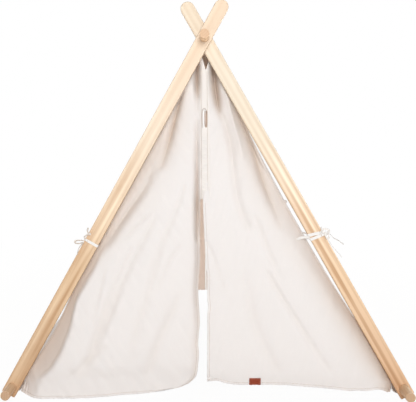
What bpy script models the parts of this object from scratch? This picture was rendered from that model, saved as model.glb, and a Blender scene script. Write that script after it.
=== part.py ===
# Play tent: two folding A frames of round-topped slats and dowels under a cotton cover.
# Metres, +Z up. The front is -Y, the floor is z = 0, and x = y = 0 is the middle of the tent.

import math

import bmesh
import bpy
import numpy as np
from mathutils import Vector

# Slats
POLE_WIDTH = 0.043
POLE_THICKNESS = 0.020
POLE_BELOW_RIDGE = 1.225
POLE_ABOVE_RIDGE = 0.125
POLE_EDGE_RADIUS = 0.003
BASE_HOLE_FROM_FOOT = 0.024
SPREAD_ANGLE = math.radians(29.2)
FRAME_DEPTH = 1.050

# Dowels
DOWEL_DIAMETER = 0.028
DOWEL_OVERHANG = 0.058
DOWEL_END_ROUND = 0.0015

# Clearances
RUNNING_GAP = 0.0003
SEWN_GAP = 0.0003
LAYER_GAP = 0.0005

# Cover
CLOTH_THICKNESS = 0.0015
SLEEVE_SLACK = 0.017
SLEEVE_SLACK_ANGLE = math.radians(-30)
SEWN_SLEEVE_SHARE = 0.29
EDGE_PULL = 0.030
EDGE_PULL_POWER = 3
MIDDLE_PULL_SHARE = 0.15
HOLLOW_POWER = 0.8
SIDE_RIPPLE_DEPTH = 0.006
SIDE_RIPPLES = 3
FLAP_TOP_CLEARANCE = 0.002

# Folds and hems of the end walls
FOLD_DEPTH = 0.040
FRONT_FOLDS = 2.5
BACK_FOLDS = 2.0
FOLD_START_SHARE = 0.25
FOLD_GROWTH = 0.6
FOLD_HEM_LOSS = 0.45
FOLD_LEAN = 0.15
FOLD_EDGE_POWER = 4
HEM_BULGE = 0.026
LEFT_HEM_HEIGHT = 0.030
LEFT_HEM_DIP = 0.015
RIGHT_HEM_HEIGHT = 0.042
RIGHT_HEM_DIP = -0.006
BACK_HEM_HEIGHT = 0.055
BACK_HEM_DIP = 0.004
HEM_DIP_POWER = 6

# Front opening
NOTCH_DEPTH = 0.100
NOTCH_HALF_WIDTH = 0.009
SLIT_TOP_BELOW_RIDGE = 0.480
SLIT_TAPER = 0.220
LEFT_DOOR_GAP = 0.024
RIGHT_DOOR_GAP = 0.0035
PLACKET_WIDTH = 0.020

# Tapes, ties and label
TAPE_WIDTH = 0.009
TAPE_THICKNESS = 0.0012
TIE_BELOW_RIDGE = 0.609
KNOT_RADIUS = 0.0065
UPPER_LOOP_LENGTH = 0.026
UPPER_LOOP_ANGLE = math.radians(40)
LOWER_LOOP_LENGTH = 0.031
LOWER_LOOP_ANGLE = math.radians(-45)
BOW_LOOP_SPREAD = 0.007
BOW_TAIL_LENGTH = 0.038
BOW_TAIL_ANGLE = math.radians(78)
BOW_TAIL_CURL = 0.010
TAPE_LOOP_WIDTH = 0.012
TAPE_LOOP_LENGTH = 0.054
TAPE_LOOP_BELOW_RIDGE = 0.245
LABEL_WIDTH = 0.034
LABEL_HEIGHT = 0.021
LABEL_THICKNESS = 0.001
LABEL_FROM_MIDDLE = 0.147
LABEL_ABOVE_HEM = 0.004

# Facets
ROUND_SIDES = 32
EDGE_ROUND_SIDES = 2
SLEEVE_SIDES = 24
SEAM_ROWS = 18
SIDE_COLUMNS = 8
FRONT_COLUMNS = 12
BACK_COLUMNS = 8
TAPE_LOOP_SIDES = 8
BAND_CORNER_SIDES = 3
BOW_LOOP_SIDES = 8
BOW_TAIL_SIDES = 4
LABEL_COLUMNS = 4
LABEL_ROWS = 2
SHARP_ANGLE = math.radians(35)
CLOTH_SHARP_ANGLE = math.radians(50)

LEFT = -1
RIGHT = 1
FRONT = -1
BACK = 1

# Sizes that follow from the ones above
SPREAD_SIN = math.sin(SPREAD_ANGLE)
SPREAD_COS = math.cos(SPREAD_ANGLE)
RIDGE_HEIGHT = POLE_BELOW_RIDGE * SPREAD_COS + POLE_WIDTH / 2 * SPREAD_SIN
DOWEL_RADIUS = DOWEL_DIAMETER / 2
BORE_RADIUS = DOWEL_RADIUS + RUNNING_GAP
BASE_DOWEL_ALONG = POLE_BELOW_RIDGE - BASE_HOLE_FROM_FOOT
SLEEVE_RADIUS = DOWEL_RADIUS + SEWN_GAP + CLOTH_THICKNESS
INNER_FACE = FRAME_DEPTH / 2 - 2 * POLE_THICKNESS - LAYER_GAP
TAPE_LAYERS = 2 * (TAPE_THICKNESS + SEWN_GAP)
CLOTH_PLANE = INNER_FACE - RUNNING_GAP - TAPE_LAYERS - CLOTH_THICKNESS / 2
PANEL_OFFSET = SLEEVE_RADIUS + SEWN_GAP + CLOTH_THICKNESS / 2


def clear_scene():
    for obj in list(bpy.data.objects):
        bpy.data.objects.remove(obj, do_unlink=True)


def plain_material(name, colour, roughness, metallic=0.0):
    material = bpy.data.materials.new(name)
    material.use_nodes = True
    shader = material.node_tree.nodes["Principled BSDF"]
    shader.inputs["Base Color"].default_value = (*colour, 1.0)
    shader.inputs["Roughness"].default_value = roughness
    shader.inputs["Metallic"].default_value = metallic
    return material


def pivot(name):
    # An empty on the ridge axis. What hangs on it is placed from that axis.
    empty = bpy.data.objects.new(name, None)
    empty.location = (0, 0, RIDGE_HEIGHT)
    bpy.context.collection.objects.link(empty)
    return empty


def place(name, mesh, material, parent, location=(0, 0, 0), turn=0.0):
    if not mesh.materials:
        mesh.materials.append(material)
    obj = bpy.data.objects.new(name, mesh)
    obj.parent = parent
    obj.location = location
    obj.rotation_euler = (0, turn, 0)
    bpy.context.collection.objects.link(obj)
    return obj


def mesh_from(name, bm):
    bm.normal_update()
    bmesh.ops.recalc_face_normals(bm, faces=bm.faces)
    mesh = bpy.data.meshes.new(name)
    bm.to_mesh(mesh)
    bm.free()
    return mesh


def add_faces(bm, points, faces):
    corners = [bm.verts.new(point) for point in points]
    for face in faces:
        bm.faces.new([corners[index] for index in face])


def combine(first, others, operation):
    # The mesh that a Boolean modifier for each of the other meshes makes of the first one.
    helpers = []
    for index, mesh in enumerate([first, *others]):
        helper = bpy.data.objects.new(f"helper_{index}", mesh)
        helper.hide_render = True
        helper.display_type = "WIRE"
        bpy.context.collection.objects.link(helper)
        helpers.append(helper)
    base = helpers[0]
    for helper in helpers[1:]:
        step = base.modifiers.new("combine", "BOOLEAN")
        step.operation = operation
        step.solver = "EXACT"
        step.object = helper
    bpy.context.view_layer.update()
    evaluated = base.evaluated_get(bpy.context.evaluated_depsgraph_get())
    result = bpy.data.meshes.new_from_object(evaluated)
    for helper in helpers:
        bpy.data.objects.remove(helper, do_unlink=True)
    return result


def smooth_step(value):
    share = np.clip(value, 0.0, 1.0)
    return share * share * (3 - 2 * share)


def from_ridge(side, along, outward):
    # x and z of a point, from its distance down a side frame and out from its middle plane.
    x = side * (along * SPREAD_SIN + outward * SPREAD_COS)
    z = outward * SPREAD_SIN - along * SPREAD_COS
    return x, z


# Slats and dowels


def pole_outline():
    # Square foot, straight sides and a half-round top, from the ridge hole's centre.
    half = POLE_WIDTH / 2
    top_centre = POLE_ABOVE_RIDGE - half
    arc = [math.pi * step / (ROUND_SIDES // 2) for step in range(ROUND_SIDES // 2 + 1)]
    top = [(half * math.cos(a), top_centre + half * math.sin(a)) for a in arc]
    return [(-half, -POLE_BELOW_RIDGE), (half, -POLE_BELOW_RIDGE), *top]


def round_edges(bm, edges, radius):
    bmesh.ops.bevel(
        bm, geom=edges, offset=radius, segments=EDGE_ROUND_SIDES, profile=0.5, affect="EDGES"
    )


def cross_cylinder(radius, length, height, round_ends=0.0):
    # A cylinder along Y, at a height from the ridge axis.
    bm = bmesh.new()
    bmesh.ops.create_cone(
        bm, cap_ends=True, segments=ROUND_SIDES, radius1=radius, radius2=radius, depth=length
    )
    if round_ends:
        rims = [edge for edge in bm.edges if abs(edge.verts[0].co.z - edge.verts[1].co.z) < length / 2]
        round_edges(bm, rims, round_ends)
    for vert in bm.verts:
        vert.co = Vector((vert.co.x, vert.co.z, vert.co.y + height))
    return mesh_from("cylinder", bm)


def pole_mesh():
    bm = bmesh.new()
    front = [bm.verts.new((x, -POLE_THICKNESS / 2, z)) for x, z in pole_outline()]
    face = bm.faces.new(front)
    body = bmesh.ops.extrude_face_region(bm, geom=[face])
    moved = [item for item in body["geom"] if isinstance(item, bmesh.types.BMVert)]
    bmesh.ops.translate(bm, verts=moved, vec=(0, POLE_THICKNESS, 0))
    foot = -POLE_BELOW_RIDGE + POLE_EDGE_RADIUS

    def is_long_edge(edge):
        first, second = (vert.co for vert in edge.verts)
        return abs(first.y - second.y) < POLE_THICKNESS / 2 and max(first.z, second.z) > foot

    round_edges(bm, [edge for edge in bm.edges if is_long_edge(edge)], POLE_EDGE_RADIUS)
    drills = [cross_cylinder(BORE_RADIUS, 2 * POLE_THICKNESS, z) for z in (0.0, -BASE_DOWEL_ALONG)]
    drilled = combine(mesh_from("slat", bm), drills, "DIFFERENCE")
    drilled.shade_smooth()
    drilled.set_sharp_from_angle(angle=SHARP_ANGLE)
    return drilled


def pole_layer(side, end):
    # The front left and the back right slats lie outside the other two, so both frames are alike.
    inset = 0 if side == end else POLE_THICKNESS + LAYER_GAP
    return end * (FRAME_DEPTH / 2 - POLE_THICKNESS / 2 - inset)


def make_poles(pivots, wood):
    slat = pole_mesh()
    for side, side_name in ((LEFT, "left"), (RIGHT, "right")):
        for end, end_name in ((FRONT, "front"), (BACK, "back")):
            place(
                f"{end_name}_{side_name}_pole",
                slat,
                wood,
                pivots[side],
                location=(0, pole_layer(side, end), 0),
                turn=-side * SPREAD_ANGLE,
            )


def make_dowels(pivots, wood):
    def dowel(name, parent, front_face, back_face, height, turn):
        length = back_face - front_face + 2 * DOWEL_OVERHANG
        mesh = cross_cylinder(DOWEL_RADIUS, length, height, DOWEL_END_ROUND)
        mesh.shade_smooth()
        mesh.set_sharp_from_angle(angle=SHARP_ANGLE)
        middle = (front_face + back_face) / 2
        place(name, mesh, wood, parent, location=(0, middle, 0), turn=turn)

    dowel("ridge_dowel", pivots[0], -FRAME_DEPTH / 2, FRAME_DEPTH / 2, 0, 0)
    for side, name in ((LEFT, "left_base_dowel"), (RIGHT, "right_base_dowel")):
        front_face = pole_layer(side, FRONT) - POLE_THICKNESS / 2
        back_face = pole_layer(side, BACK) + POLE_THICKNESS / 2
        turn = -side * SPREAD_ANGLE
        dowel(name, pivots[side], front_face, back_face, -BASE_DOWEL_ALONG, turn)


# Cover


def tunnel(name, outer, inner, material, parent):
    # A sleeve between the two end walls of the cover, from matching outlines in x and z.
    count = len(outer)
    reach = CLOTH_PLANE + CLOTH_THICKNESS / 2
    loops = [(outer, -reach), (inner, -reach), (inner, reach), (outer, reach)]
    points = [(x, y, z) for loop, y in loops for x, z in loop]
    faces = []
    for ring in range(4):
        first = ring * count
        second = (ring + 1) % 4 * count
        for k in range(count):
            after = (k + 1) % count
            faces.append((first + k, first + after, second + after, second + k))
    bm = bmesh.new()
    add_faces(bm, points, faces)
    mesh = mesh_from(name, bm)
    mesh.shade_smooth()
    mesh.set_sharp_from_angle(angle=SHARP_ANGLE)
    place(name, mesh, material, parent)


def sleeve_angle(step):
    # Angles from the inward level, the first one pointing up the slat at the ridge.
    return math.pi / 2 - SPREAD_ANGLE - 2 * math.pi * step / SLEEVE_SIDES


def sleeve_radius(angle):
    # Snug on the dowel's outer side, slack on the inner lower side, where it hangs.
    return SLEEVE_RADIUS + SLEEVE_SLACK * (1 + math.cos(angle - SLEEVE_SLACK_ANGLE)) / 2


def sleeve_point(side, step, extra):
    angle = sleeve_angle(step)
    radius = sleeve_radius(angle) + extra
    centre_x, centre_z = from_ridge(side, BASE_DOWEL_ALONG, 0)
    return centre_x - side * radius * math.cos(angle), centre_z + radius * math.sin(angle)


def make_sleeves(pivots, cloth):
    for side, name in ((LEFT, "left_base_sleeve"), (RIGHT, "right_base_sleeve")):
        outer = [sleeve_point(side, step, 0) for step in range(SLEEVE_SIDES)]
        inner = [sleeve_point(side, step, -CLOTH_THICKNESS) for step in range(SLEEVE_SIDES)]
        tunnel(name, outer, inner, cloth, pivots[side])

    turns = [2 * math.pi * step / SLEEVE_SIDES for step in range(SLEEVE_SIDES)]
    outer = [(SLEEVE_RADIUS * math.cos(a), SLEEVE_RADIUS * math.sin(a)) for a in turns]
    bore = SLEEVE_RADIUS - CLOTH_THICKNESS
    inner = [(bore * math.cos(a), bore * math.sin(a)) for a in turns]
    tunnel("ridge_sleeve", outer, inner, cloth, pivots[0])


def panel_rows():
    # Distances down a side frame where the side wall and the end walls share their seam's points.
    last = BASE_DOWEL_ALONG - sleeve_radius(sleeve_angle(0)) - SEWN_GAP
    rise = SLEEVE_RADIUS + FLAP_TOP_CLEARANCE + PANEL_OFFSET * SPREAD_SIN
    return np.concatenate([[0.0], np.linspace(rise / SPREAD_COS, last, SEAM_ROWS)])


def panel_outward(along, across):
    # The side wall's place out from the slats' middle plane: it leaves the ridge sleeve at a
    # tangent, ends on the base sleeve, and its front and back edges are drawn in by the end walls.
    down = along / panel_rows()[-1]
    straight = PANEL_OFFSET * (1 - down)
    hollow = np.sin(math.pi * np.clip(down, 0, 1)) ** HOLLOW_POWER
    rise = (1 - MIDDLE_PULL_SHARE) * np.abs(2 * across - 1) ** EDGE_PULL_POWER
    edge = MIDDLE_PULL_SHARE + rise
    ripple = SIDE_RIPPLE_DEPTH * (0.5 - 0.5 * np.cos(2 * math.pi * SIDE_RIPPLES * across))
    return straight - hollow * (EDGE_PULL * edge + ripple)


def thick_sheet(name, middle, thickness, material, parent):
    # A closed cloth solid from a grid of points on its middle surface and a thickness vector.
    rows, columns = middle.shape[:2]
    count = rows * columns
    index = np.arange(count).reshape(rows, columns)
    points = np.concatenate([middle + thickness / 2, middle - thickness / 2]).reshape(-1, 3)
    quads = np.stack([index[:-1, :-1], index[:-1, 1:], index[1:, 1:], index[1:, :-1]], axis=-1)
    quads = quads.reshape(-1, 4)
    border = np.concatenate([index[0], index[1:, -1], index[-1, -2::-1], index[-2:0:-1, 0]])
    after = np.roll(border, -1)
    walls = np.stack([border, after, after + count, border + count], axis=-1)
    bm = bmesh.new()
    add_faces(bm, points.tolist(), [*quads.tolist(), *(quads + count).tolist(), *walls.tolist()])
    bmesh.ops.triangulate(bm, faces=bm.faces)
    mesh = mesh_from(name, bm)
    mesh.shade_smooth()
    mesh.set_sharp_from_angle(angle=CLOTH_SHARP_ANGLE)
    return place(name, mesh, material, parent)


def make_side_panels(pivots, cloth):
    along, across = np.meshgrid(panel_rows(), np.linspace(0, 1, SIDE_COLUMNS + 1), indexing="ij")
    outward = panel_outward(along, across)
    reach = CLOTH_PLANE + CLOTH_THICKNESS / 2
    y = reach * (2 * across - 1)
    for side, name in ((LEFT, "left_side_panel"), (RIGHT, "right_side_panel")):
        x, z = from_ridge(side, along, outward)
        out = np.array([side * SPREAD_COS, 0, SPREAD_SIN]) * CLOTH_THICKNESS
        thick_sheet(name, np.stack([x, y, z], axis=-1), out, cloth, pivots[side])


def side_seam(side):
    # The line that an end wall is sewn along: down the side wall, then round the base sleeve.
    along = panel_rows()[1:]
    inner_face = panel_outward(along, 0.0) - CLOTH_THICKNESS / 2 - SEWN_GAP
    x, z = from_ridge(side, along, inner_face)
    wall = np.stack([x, z], axis=-1)
    last_step = round(SLEEVE_SIDES * SEWN_SLEEVE_SHARE)
    sleeve = [sleeve_point(side, step, SEWN_GAP) for step in range(1, last_step + 1)]
    return np.concatenate([wall, np.array(sleeve)])


def sewn_edge(height, door_gap, notched):
    # Distance of an end wall's inner edge from the middle: a notch at the top, then sewn to its
    # neighbour, then an open door edge below the slit's top.
    edge = SEWN_GAP / 2 + door_gap * smooth_step((-SLIT_TOP_BELOW_RIDGE - height) / SLIT_TAPER)
    if notched:
        edge = edge + NOTCH_HALF_WIDTH * np.clip((height + NOTCH_DEPTH) / NOTCH_DEPTH, 0, 1)
    return edge


def end_wall(side, end, hem_height, hem_dip, door_gap):
    # Middle surface of one half of an end wall. Its rows run from the middle to the side seam.
    columns, folds = (FRONT_COLUMNS, FRONT_FOLDS) if end == FRONT else (BACK_COLUMNS, BACK_FOLDS)
    seam = side_seam(side)
    lengths = np.linalg.norm(np.diff(seam, axis=0), axis=1)
    down = np.concatenate([[0], np.cumsum(lengths)]) / lengths.sum()
    seam_x, seam_z = seam[:, 0], seam[:, 1]
    middle_z = seam_z[0] + (hem_height - RIDGE_HEIGHT - seam_z[0]) * down
    middle_x = side * sewn_edge(middle_z, door_gap, end == FRONT)

    down = down[:, None]
    across = np.linspace(0, 1, columns + 1)[None, :]
    x = middle_x[:, None] * (1 - across) + seam_x[:, None] * across
    z = middle_z[:, None] * (1 - across) + seam_z[:, None] * across
    z = z - hem_dip * down**HEM_DIP_POWER * np.sin(math.pi * across)

    loose = smooth_step((-SLIT_TOP_BELOW_RIDGE - middle_z) / SLIT_TAPER)[:, None]
    if not door_gap:
        loose = 0 * loose
    placket_share = PLACKET_WIDTH / np.maximum(np.abs(seam_x - middle_x), PLACKET_WIDTH)[:, None]
    held_middle = smooth_step((across - placket_share) / FOLD_START_SHARE)
    free = loose + (1 - loose) * held_middle
    swell = down**FOLD_GROWTH * (1 - FOLD_HEM_LOSS * down)
    wave = 0.5 - 0.5 * np.cos(2 * math.pi * (folds * across + FOLD_LEAN * down))
    depth = FOLD_DEPTH * swell * wave * free * (1 - across**FOLD_EDGE_POWER)
    bulge = HEM_BULGE * down**2 * np.sin(math.pi * across) ** 2
    y = end * (CLOTH_PLANE - depth + bulge)
    return np.stack([x, y, z], axis=-1)


def make_end_walls(pivots, cloth):
    # The four halves of the end walls. The right flap and its hem line are kept for the label.
    thickness = np.array([0, CLOTH_THICKNESS, 0])
    left_front = end_wall(LEFT, FRONT, LEFT_HEM_HEIGHT, LEFT_HEM_DIP, LEFT_DOOR_GAP)
    right_front = end_wall(RIGHT, FRONT, RIGHT_HEM_HEIGHT, RIGHT_HEM_DIP, RIGHT_DOOR_GAP)
    thick_sheet("front_left_flap", left_front, thickness, cloth, pivots[LEFT])
    right_flap = thick_sheet("front_right_flap", right_front, thickness, cloth, pivots[RIGHT])
    for side, name in ((LEFT, "back_left_panel"), (RIGHT, "back_right_panel")):
        back = end_wall(side, BACK, BACK_HEM_HEIGHT, BACK_HEM_DIP, 0)
        thick_sheet(name, back, thickness, cloth, pivots[side])
    return right_flap, right_front[-1]


# Tapes, ties and label


def flat_strip(name, width, top, bottom, front, thickness, material, parent, round_top=False):
    # An upright strip facing the front, with a square or a half-round top.
    half = width / 2
    if round_top:
        arc = [math.pi * step / TAPE_LOOP_SIDES for step in range(TAPE_LOOP_SIDES + 1)]
        upper = [(half * math.cos(a), top - half + half * math.sin(a)) for a in arc]
    else:
        upper = [(half, top), (-half, top)]
    outline = [(-half, bottom), (half, bottom), *upper]
    bm = bmesh.new()
    face = bm.faces.new([bm.verts.new((x, front, z)) for x, z in outline])
    body = bmesh.ops.extrude_face_region(bm, geom=[face])
    moved = [item for item in body["geom"] if isinstance(item, bmesh.types.BMVert)]
    bmesh.ops.translate(bm, verts=moved, vec=(0, thickness, 0))
    place(name, mesh_from(name, bm), material, parent)


def make_placket(pivots, cloth, tape):
    flap_face = -CLOTH_PLANE - CLOTH_THICKNESS / 2
    front = flap_face - SEWN_GAP - TAPE_THICKNESS
    flat_strip(
        "front_placket",
        PLACKET_WIDTH,
        -NOTCH_DEPTH,
        -SLIT_TOP_BELOW_RIDGE,
        front,
        TAPE_THICKNESS,
        cloth,
        pivots[0],
    )
    flat_strip(
        "placket_loop",
        TAPE_LOOP_WIDTH,
        -TAPE_LOOP_BELOW_RIDGE + TAPE_LOOP_LENGTH / 2,
        -TAPE_LOOP_BELOW_RIDGE - TAPE_LOOP_LENGTH / 2,
        front - SEWN_GAP - TAPE_THICKNESS,
        TAPE_THICKNESS,
        tape,
        pivots[0],
        round_top=True,
    )


def make_label(pivots, flap, hem, label_material):
    # A flat patch laid on the right flap just over its hem, then given its thickness.
    bm = bmesh.new()
    bmesh.ops.create_grid(bm, x_segments=LABEL_COLUMNS, y_segments=LABEL_ROWS, size=0.5)
    low = float(np.interp(LABEL_FROM_MIDDLE, hem[:, 0], hem[:, 2])) + LABEL_ABOVE_HEM
    for vert in bm.verts:
        x = LABEL_FROM_MIDDLE + vert.co.x * LABEL_WIDTH
        z = low + (vert.co.y + 0.5) * LABEL_HEIGHT
        vert.co = Vector((x, -FRAME_DEPTH, z))
    mesh = bpy.data.meshes.new("hem_label")
    bm.to_mesh(mesh)
    bm.free()
    label = place("hem_label", mesh, label_material, pivots[RIGHT])
    lay = label.modifiers.new("lay", "SHRINKWRAP")
    lay.target = flap
    lay.wrap_method = "PROJECT"
    lay.use_project_y = True
    lay.use_negative_direction = False
    lay.use_positive_direction = True
    lay.wrap_mode = "ABOVE_SURFACE"
    lay.offset = SEWN_GAP
    body = label.modifiers.new("body", "SOLIDIFY")
    body.thickness = LABEL_THICKNESS
    body.offset = 1


def ribbon(path, flat_normals, width_directions, closed=False):
    # A tape along a path: its flat side faces flat_normals and its width lies along
    # width_directions.
    half_width = width_directions * TAPE_WIDTH / 2
    half_thick = flat_normals * TAPE_THICKNESS / 2
    signs = ((1, 1), (-1, 1), (-1, -1), (1, -1))
    corners = np.stack([path + a * half_width + b * half_thick for a, b in signs], axis=1)
    count = len(path)
    steps = count if closed else count - 1
    faces = []
    for step in range(steps):
        first = 4 * step
        second = 4 * ((step + 1) % count)
        for k in range(4):
            after = (k + 1) % 4
            faces.append((first + k, first + after, second + after, second + k))
    if not closed:
        last = 4 * (count - 1)
        faces.append((0, 1, 2, 3))
        faces.append((last, last + 1, last + 2, last + 3))
    bm = bmesh.new()
    add_faces(bm, corners.reshape(-1, 3).tolist(), faces)
    return mesh_from("ribbon", bm)


def unit(vectors):
    return vectors / np.linalg.norm(vectors, axis=-1, keepdims=True)


def tie_band(layer):
    # The tape round the slat: a rounded rectangle in the plane square to the slat.
    half_x = POLE_WIDTH / 2 + SEWN_GAP + TAPE_THICKNESS / 2
    half_y = POLE_THICKNESS / 2 + SEWN_GAP + TAPE_THICKNESS / 2
    radius = POLE_EDGE_RADIUS + SEWN_GAP + TAPE_THICKNESS / 2
    path = []
    normals = []
    for quarter in range(4):
        sign_x = 1 if quarter in (0, 3) else -1
        sign_y = 1 if quarter in (0, 1) else -1
        for step in range(BAND_CORNER_SIDES + 1):
            angle = math.pi / 2 * (quarter + step / BAND_CORNER_SIDES)
            normal = (math.cos(angle), math.sin(angle), 0)
            x = sign_x * (half_x - radius) + radius * normal[0]
            y = layer + sign_y * (half_y - radius) + radius * normal[1]
            path.append((x, y, 0))
            normals.append(normal)
    width = np.tile([0.0, 0.0, 1.0], (len(path), 1))
    return ribbon(np.array(path), np.array(normals), width, closed=True)


def knot(centre):
    bm = bmesh.new()
    bmesh.ops.create_icosphere(bm, subdivisions=2, radius=KNOT_RADIUS)
    bmesh.ops.translate(bm, verts=bm.verts, vec=centre.tolist())
    return mesh_from("knot", bm)


def bow_loop(centre, angle, length):
    # A teardrop of tape that starts and ends in the knot, its flat side to the front.
    reach = np.array([math.cos(angle), 0, math.sin(angle)])
    start = math.asin(KNOT_RADIUS / 2 / length) / math.pi
    turn = np.linspace(start, 1 - start, BOW_LOOP_SIDES + 1)[:, None]
    out = length * np.sin(math.pi * turn)
    spread = BOW_LOOP_SPREAD * np.sin(2 * math.pi * turn)
    sideways = np.array([0.0, 1.0, 0.0])
    slope_out = length * np.cos(math.pi * turn)
    slope_spread = 2 * BOW_LOOP_SPREAD * np.cos(2 * math.pi * turn)
    normals = unit(slope_spread * reach - slope_out * sideways)
    width = np.tile(np.cross(reach, sideways), (len(turn), 1))
    return ribbon(centre + out * reach + spread * sideways, normals, width)


def bow_tail(centre, angle, curl):
    # A loose end of tape that leaves the knot and curls, its flat side to the front.
    reach = np.array([math.cos(angle), 0, math.sin(angle)])
    bend = np.array([-math.sin(angle), 0, math.cos(angle)])
    share = np.linspace(0, 1, BOW_TAIL_SIDES + 1)[:, None]
    path = centre + (KNOT_RADIUS / 2 + BOW_TAIL_LENGTH * share) * reach + curl * share**2 * bend
    tangent = unit(BOW_TAIL_LENGTH * reach + 2 * curl * share * bend)
    normals = np.tile([0.0, 1.0, 0.0], (len(path), 1))
    return ribbon(path, normals, np.cross(tangent, normals))


def seam_strap(end, layer, along):
    # The tape from the band back to the cover's seam, past the inner slat's layer on an outer slat.
    band_middle = layer - end * (POLE_THICKNESS / 2 + SEWN_GAP + TAPE_THICKNESS / 2)
    cloth_front = end * (CLOTH_PLANE + CLOTH_THICKNESS / 2 + SEWN_GAP + TAPE_THICKNESS / 2)
    seam_out = float(panel_outward(along, 0.0)) - CLOTH_THICKNESS
    start_out = -POLE_WIDTH / 2 + TAPE_WIDTH
    path = np.array([(start_out, band_middle, 0), (seam_out, cloth_front, 0)])
    width = np.tile([0.0, 0.0, 1.0], (2, 1))
    normals = np.cross(unit(path[1] - path[0]), width)
    return ribbon(path, normals, width)


def tie_mesh(side, end):
    # A band round the slat with a knot and a bow on its outer side, joined to one piece.
    along = TIE_BELOW_RIDGE / SPREAD_COS
    layer = pole_layer(side, end)
    knot_out = POLE_WIDTH / 2 + SEWN_GAP + KNOT_RADIUS
    centre = np.array([knot_out, layer, 0.0])
    pieces = [knot(centre)]
    pieces.append(bow_loop(centre, UPPER_LOOP_ANGLE, UPPER_LOOP_LENGTH))
    pieces.append(bow_loop(centre, LOWER_LOOP_ANGLE, LOWER_LOOP_LENGTH))
    pieces.append(bow_tail(centre, BOW_TAIL_ANGLE, -BOW_TAIL_CURL))
    pieces.append(bow_tail(centre, -BOW_TAIL_ANGLE, BOW_TAIL_CURL))
    pieces.append(seam_strap(end, layer, along))
    mesh = combine(tie_band(layer), pieces, "UNION")
    bm = bmesh.new()
    bm.from_mesh(mesh)
    for vert in bm.verts:
        out, y, up = vert.co
        x, z = from_ridge(side, along - up, out)
        vert.co = Vector((x, y, z))
    return mesh_from("tie", bm)


def make_ties(pivots, tape):
    for side, side_name in ((LEFT, "left"), (RIGHT, "right")):
        for end, end_name in ((FRONT, "front"), (BACK, "back")):
            place(f"{end_name}_{side_name}_tie", tie_mesh(side, end), tape, pivots[side])


def main():
    clear_scene()
    pine = plain_material("pine", (0.83, 0.62, 0.38), 0.55)
    dowel_wood = plain_material("dowel_wood", (0.86, 0.70, 0.48), 0.5)
    cotton = plain_material("cotton", (0.87, 0.83, 0.78), 0.9)
    tape = plain_material("cotton_tape", (0.90, 0.88, 0.84), 0.85)
    label_cloth = plain_material("label_cloth", (0.38, 0.06, 0.03), 0.8)

    pivots = {0: pivot("ridge"), LEFT: pivot("left_frame"), RIGHT: pivot("right_frame")}
    make_poles(pivots, pine)
    make_dowels(pivots, dowel_wood)
    make_sleeves(pivots, cotton)
    make_side_panels(pivots, cotton)
    right_flap, right_hem = make_end_walls(pivots, cotton)
    make_placket(pivots, cotton, tape)
    make_label(pivots, right_flap, right_hem, label_cloth)
    make_ties(pivots, tape)


main()
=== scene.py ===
import math
from functools import partial

import bmesh
import bpy
import numpy as np
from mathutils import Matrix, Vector


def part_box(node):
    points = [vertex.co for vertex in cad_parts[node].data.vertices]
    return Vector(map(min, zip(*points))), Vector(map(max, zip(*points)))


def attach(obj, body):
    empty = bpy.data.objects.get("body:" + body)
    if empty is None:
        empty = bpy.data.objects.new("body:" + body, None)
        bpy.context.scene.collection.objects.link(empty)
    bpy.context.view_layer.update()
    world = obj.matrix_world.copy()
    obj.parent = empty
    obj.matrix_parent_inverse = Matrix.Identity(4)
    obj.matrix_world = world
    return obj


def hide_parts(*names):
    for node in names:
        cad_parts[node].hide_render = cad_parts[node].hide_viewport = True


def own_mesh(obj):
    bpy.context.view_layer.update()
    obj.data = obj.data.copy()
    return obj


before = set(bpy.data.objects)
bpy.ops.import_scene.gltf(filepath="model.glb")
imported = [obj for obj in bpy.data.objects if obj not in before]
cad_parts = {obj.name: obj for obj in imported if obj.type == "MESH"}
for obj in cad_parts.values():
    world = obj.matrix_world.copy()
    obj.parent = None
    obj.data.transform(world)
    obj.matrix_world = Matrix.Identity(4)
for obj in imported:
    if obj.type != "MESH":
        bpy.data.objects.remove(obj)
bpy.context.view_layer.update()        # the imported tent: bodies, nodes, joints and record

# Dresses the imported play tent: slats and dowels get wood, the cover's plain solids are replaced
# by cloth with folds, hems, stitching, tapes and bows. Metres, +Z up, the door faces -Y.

print("frame loaded:", len(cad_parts), "nodes")

tent = {
    "spread": math.radians(29.2),    # lean of each side frame
    "ridgeHeight": 1.079819,
    "slatHalfWidth": 0.0215,
    "slatHalfDepth": 0.010,
    "dowelRadius": 0.014,
    "dowelAlong": 1.201,             # base dowels, down the slats from the ridge
    "clothPlane": 0.48045,           # end walls, from the tent's middle
    "clothThickness": 0.0011,
    "threadRadius": 0.0005,
    "threadSides": 5,
    "cordSides": 8,
    "threadDip": 1.2,                # how far a stitch dips, in thread radii
    "stitchPitch": 0.0056,
    "stitchSteps": 6,                # points along a stitch
    "foldedThickness": 0.10,         # share of its width that an end wall keeps when folded
    "weldDistance": 1e-6,            # points closer than this become one
}
leanSin = math.sin(tent["spread"])
leanCos = math.cos(tent["spread"])
leanTan = math.tan(tent["spread"])
dowelCentre = (tent["dowelAlong"] * leanSin, tent["ridgeHeight"] - tent["dowelAlong"] * leanCos)


# Camera

cameraSettings = {
    "place": (0.0006, -2.2045, 0.780),
    "turn": 0.0395,
    "roll": 0.0052,
    "focalPixels": 564.6,
    "horizonPixel": 138,
    "axisPixel": 182.9,
    "imageWidth": 416,
    "imageHeight": 402,
    "sensorWidth": 36,
    "clipStart": 0.05,
}


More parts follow.
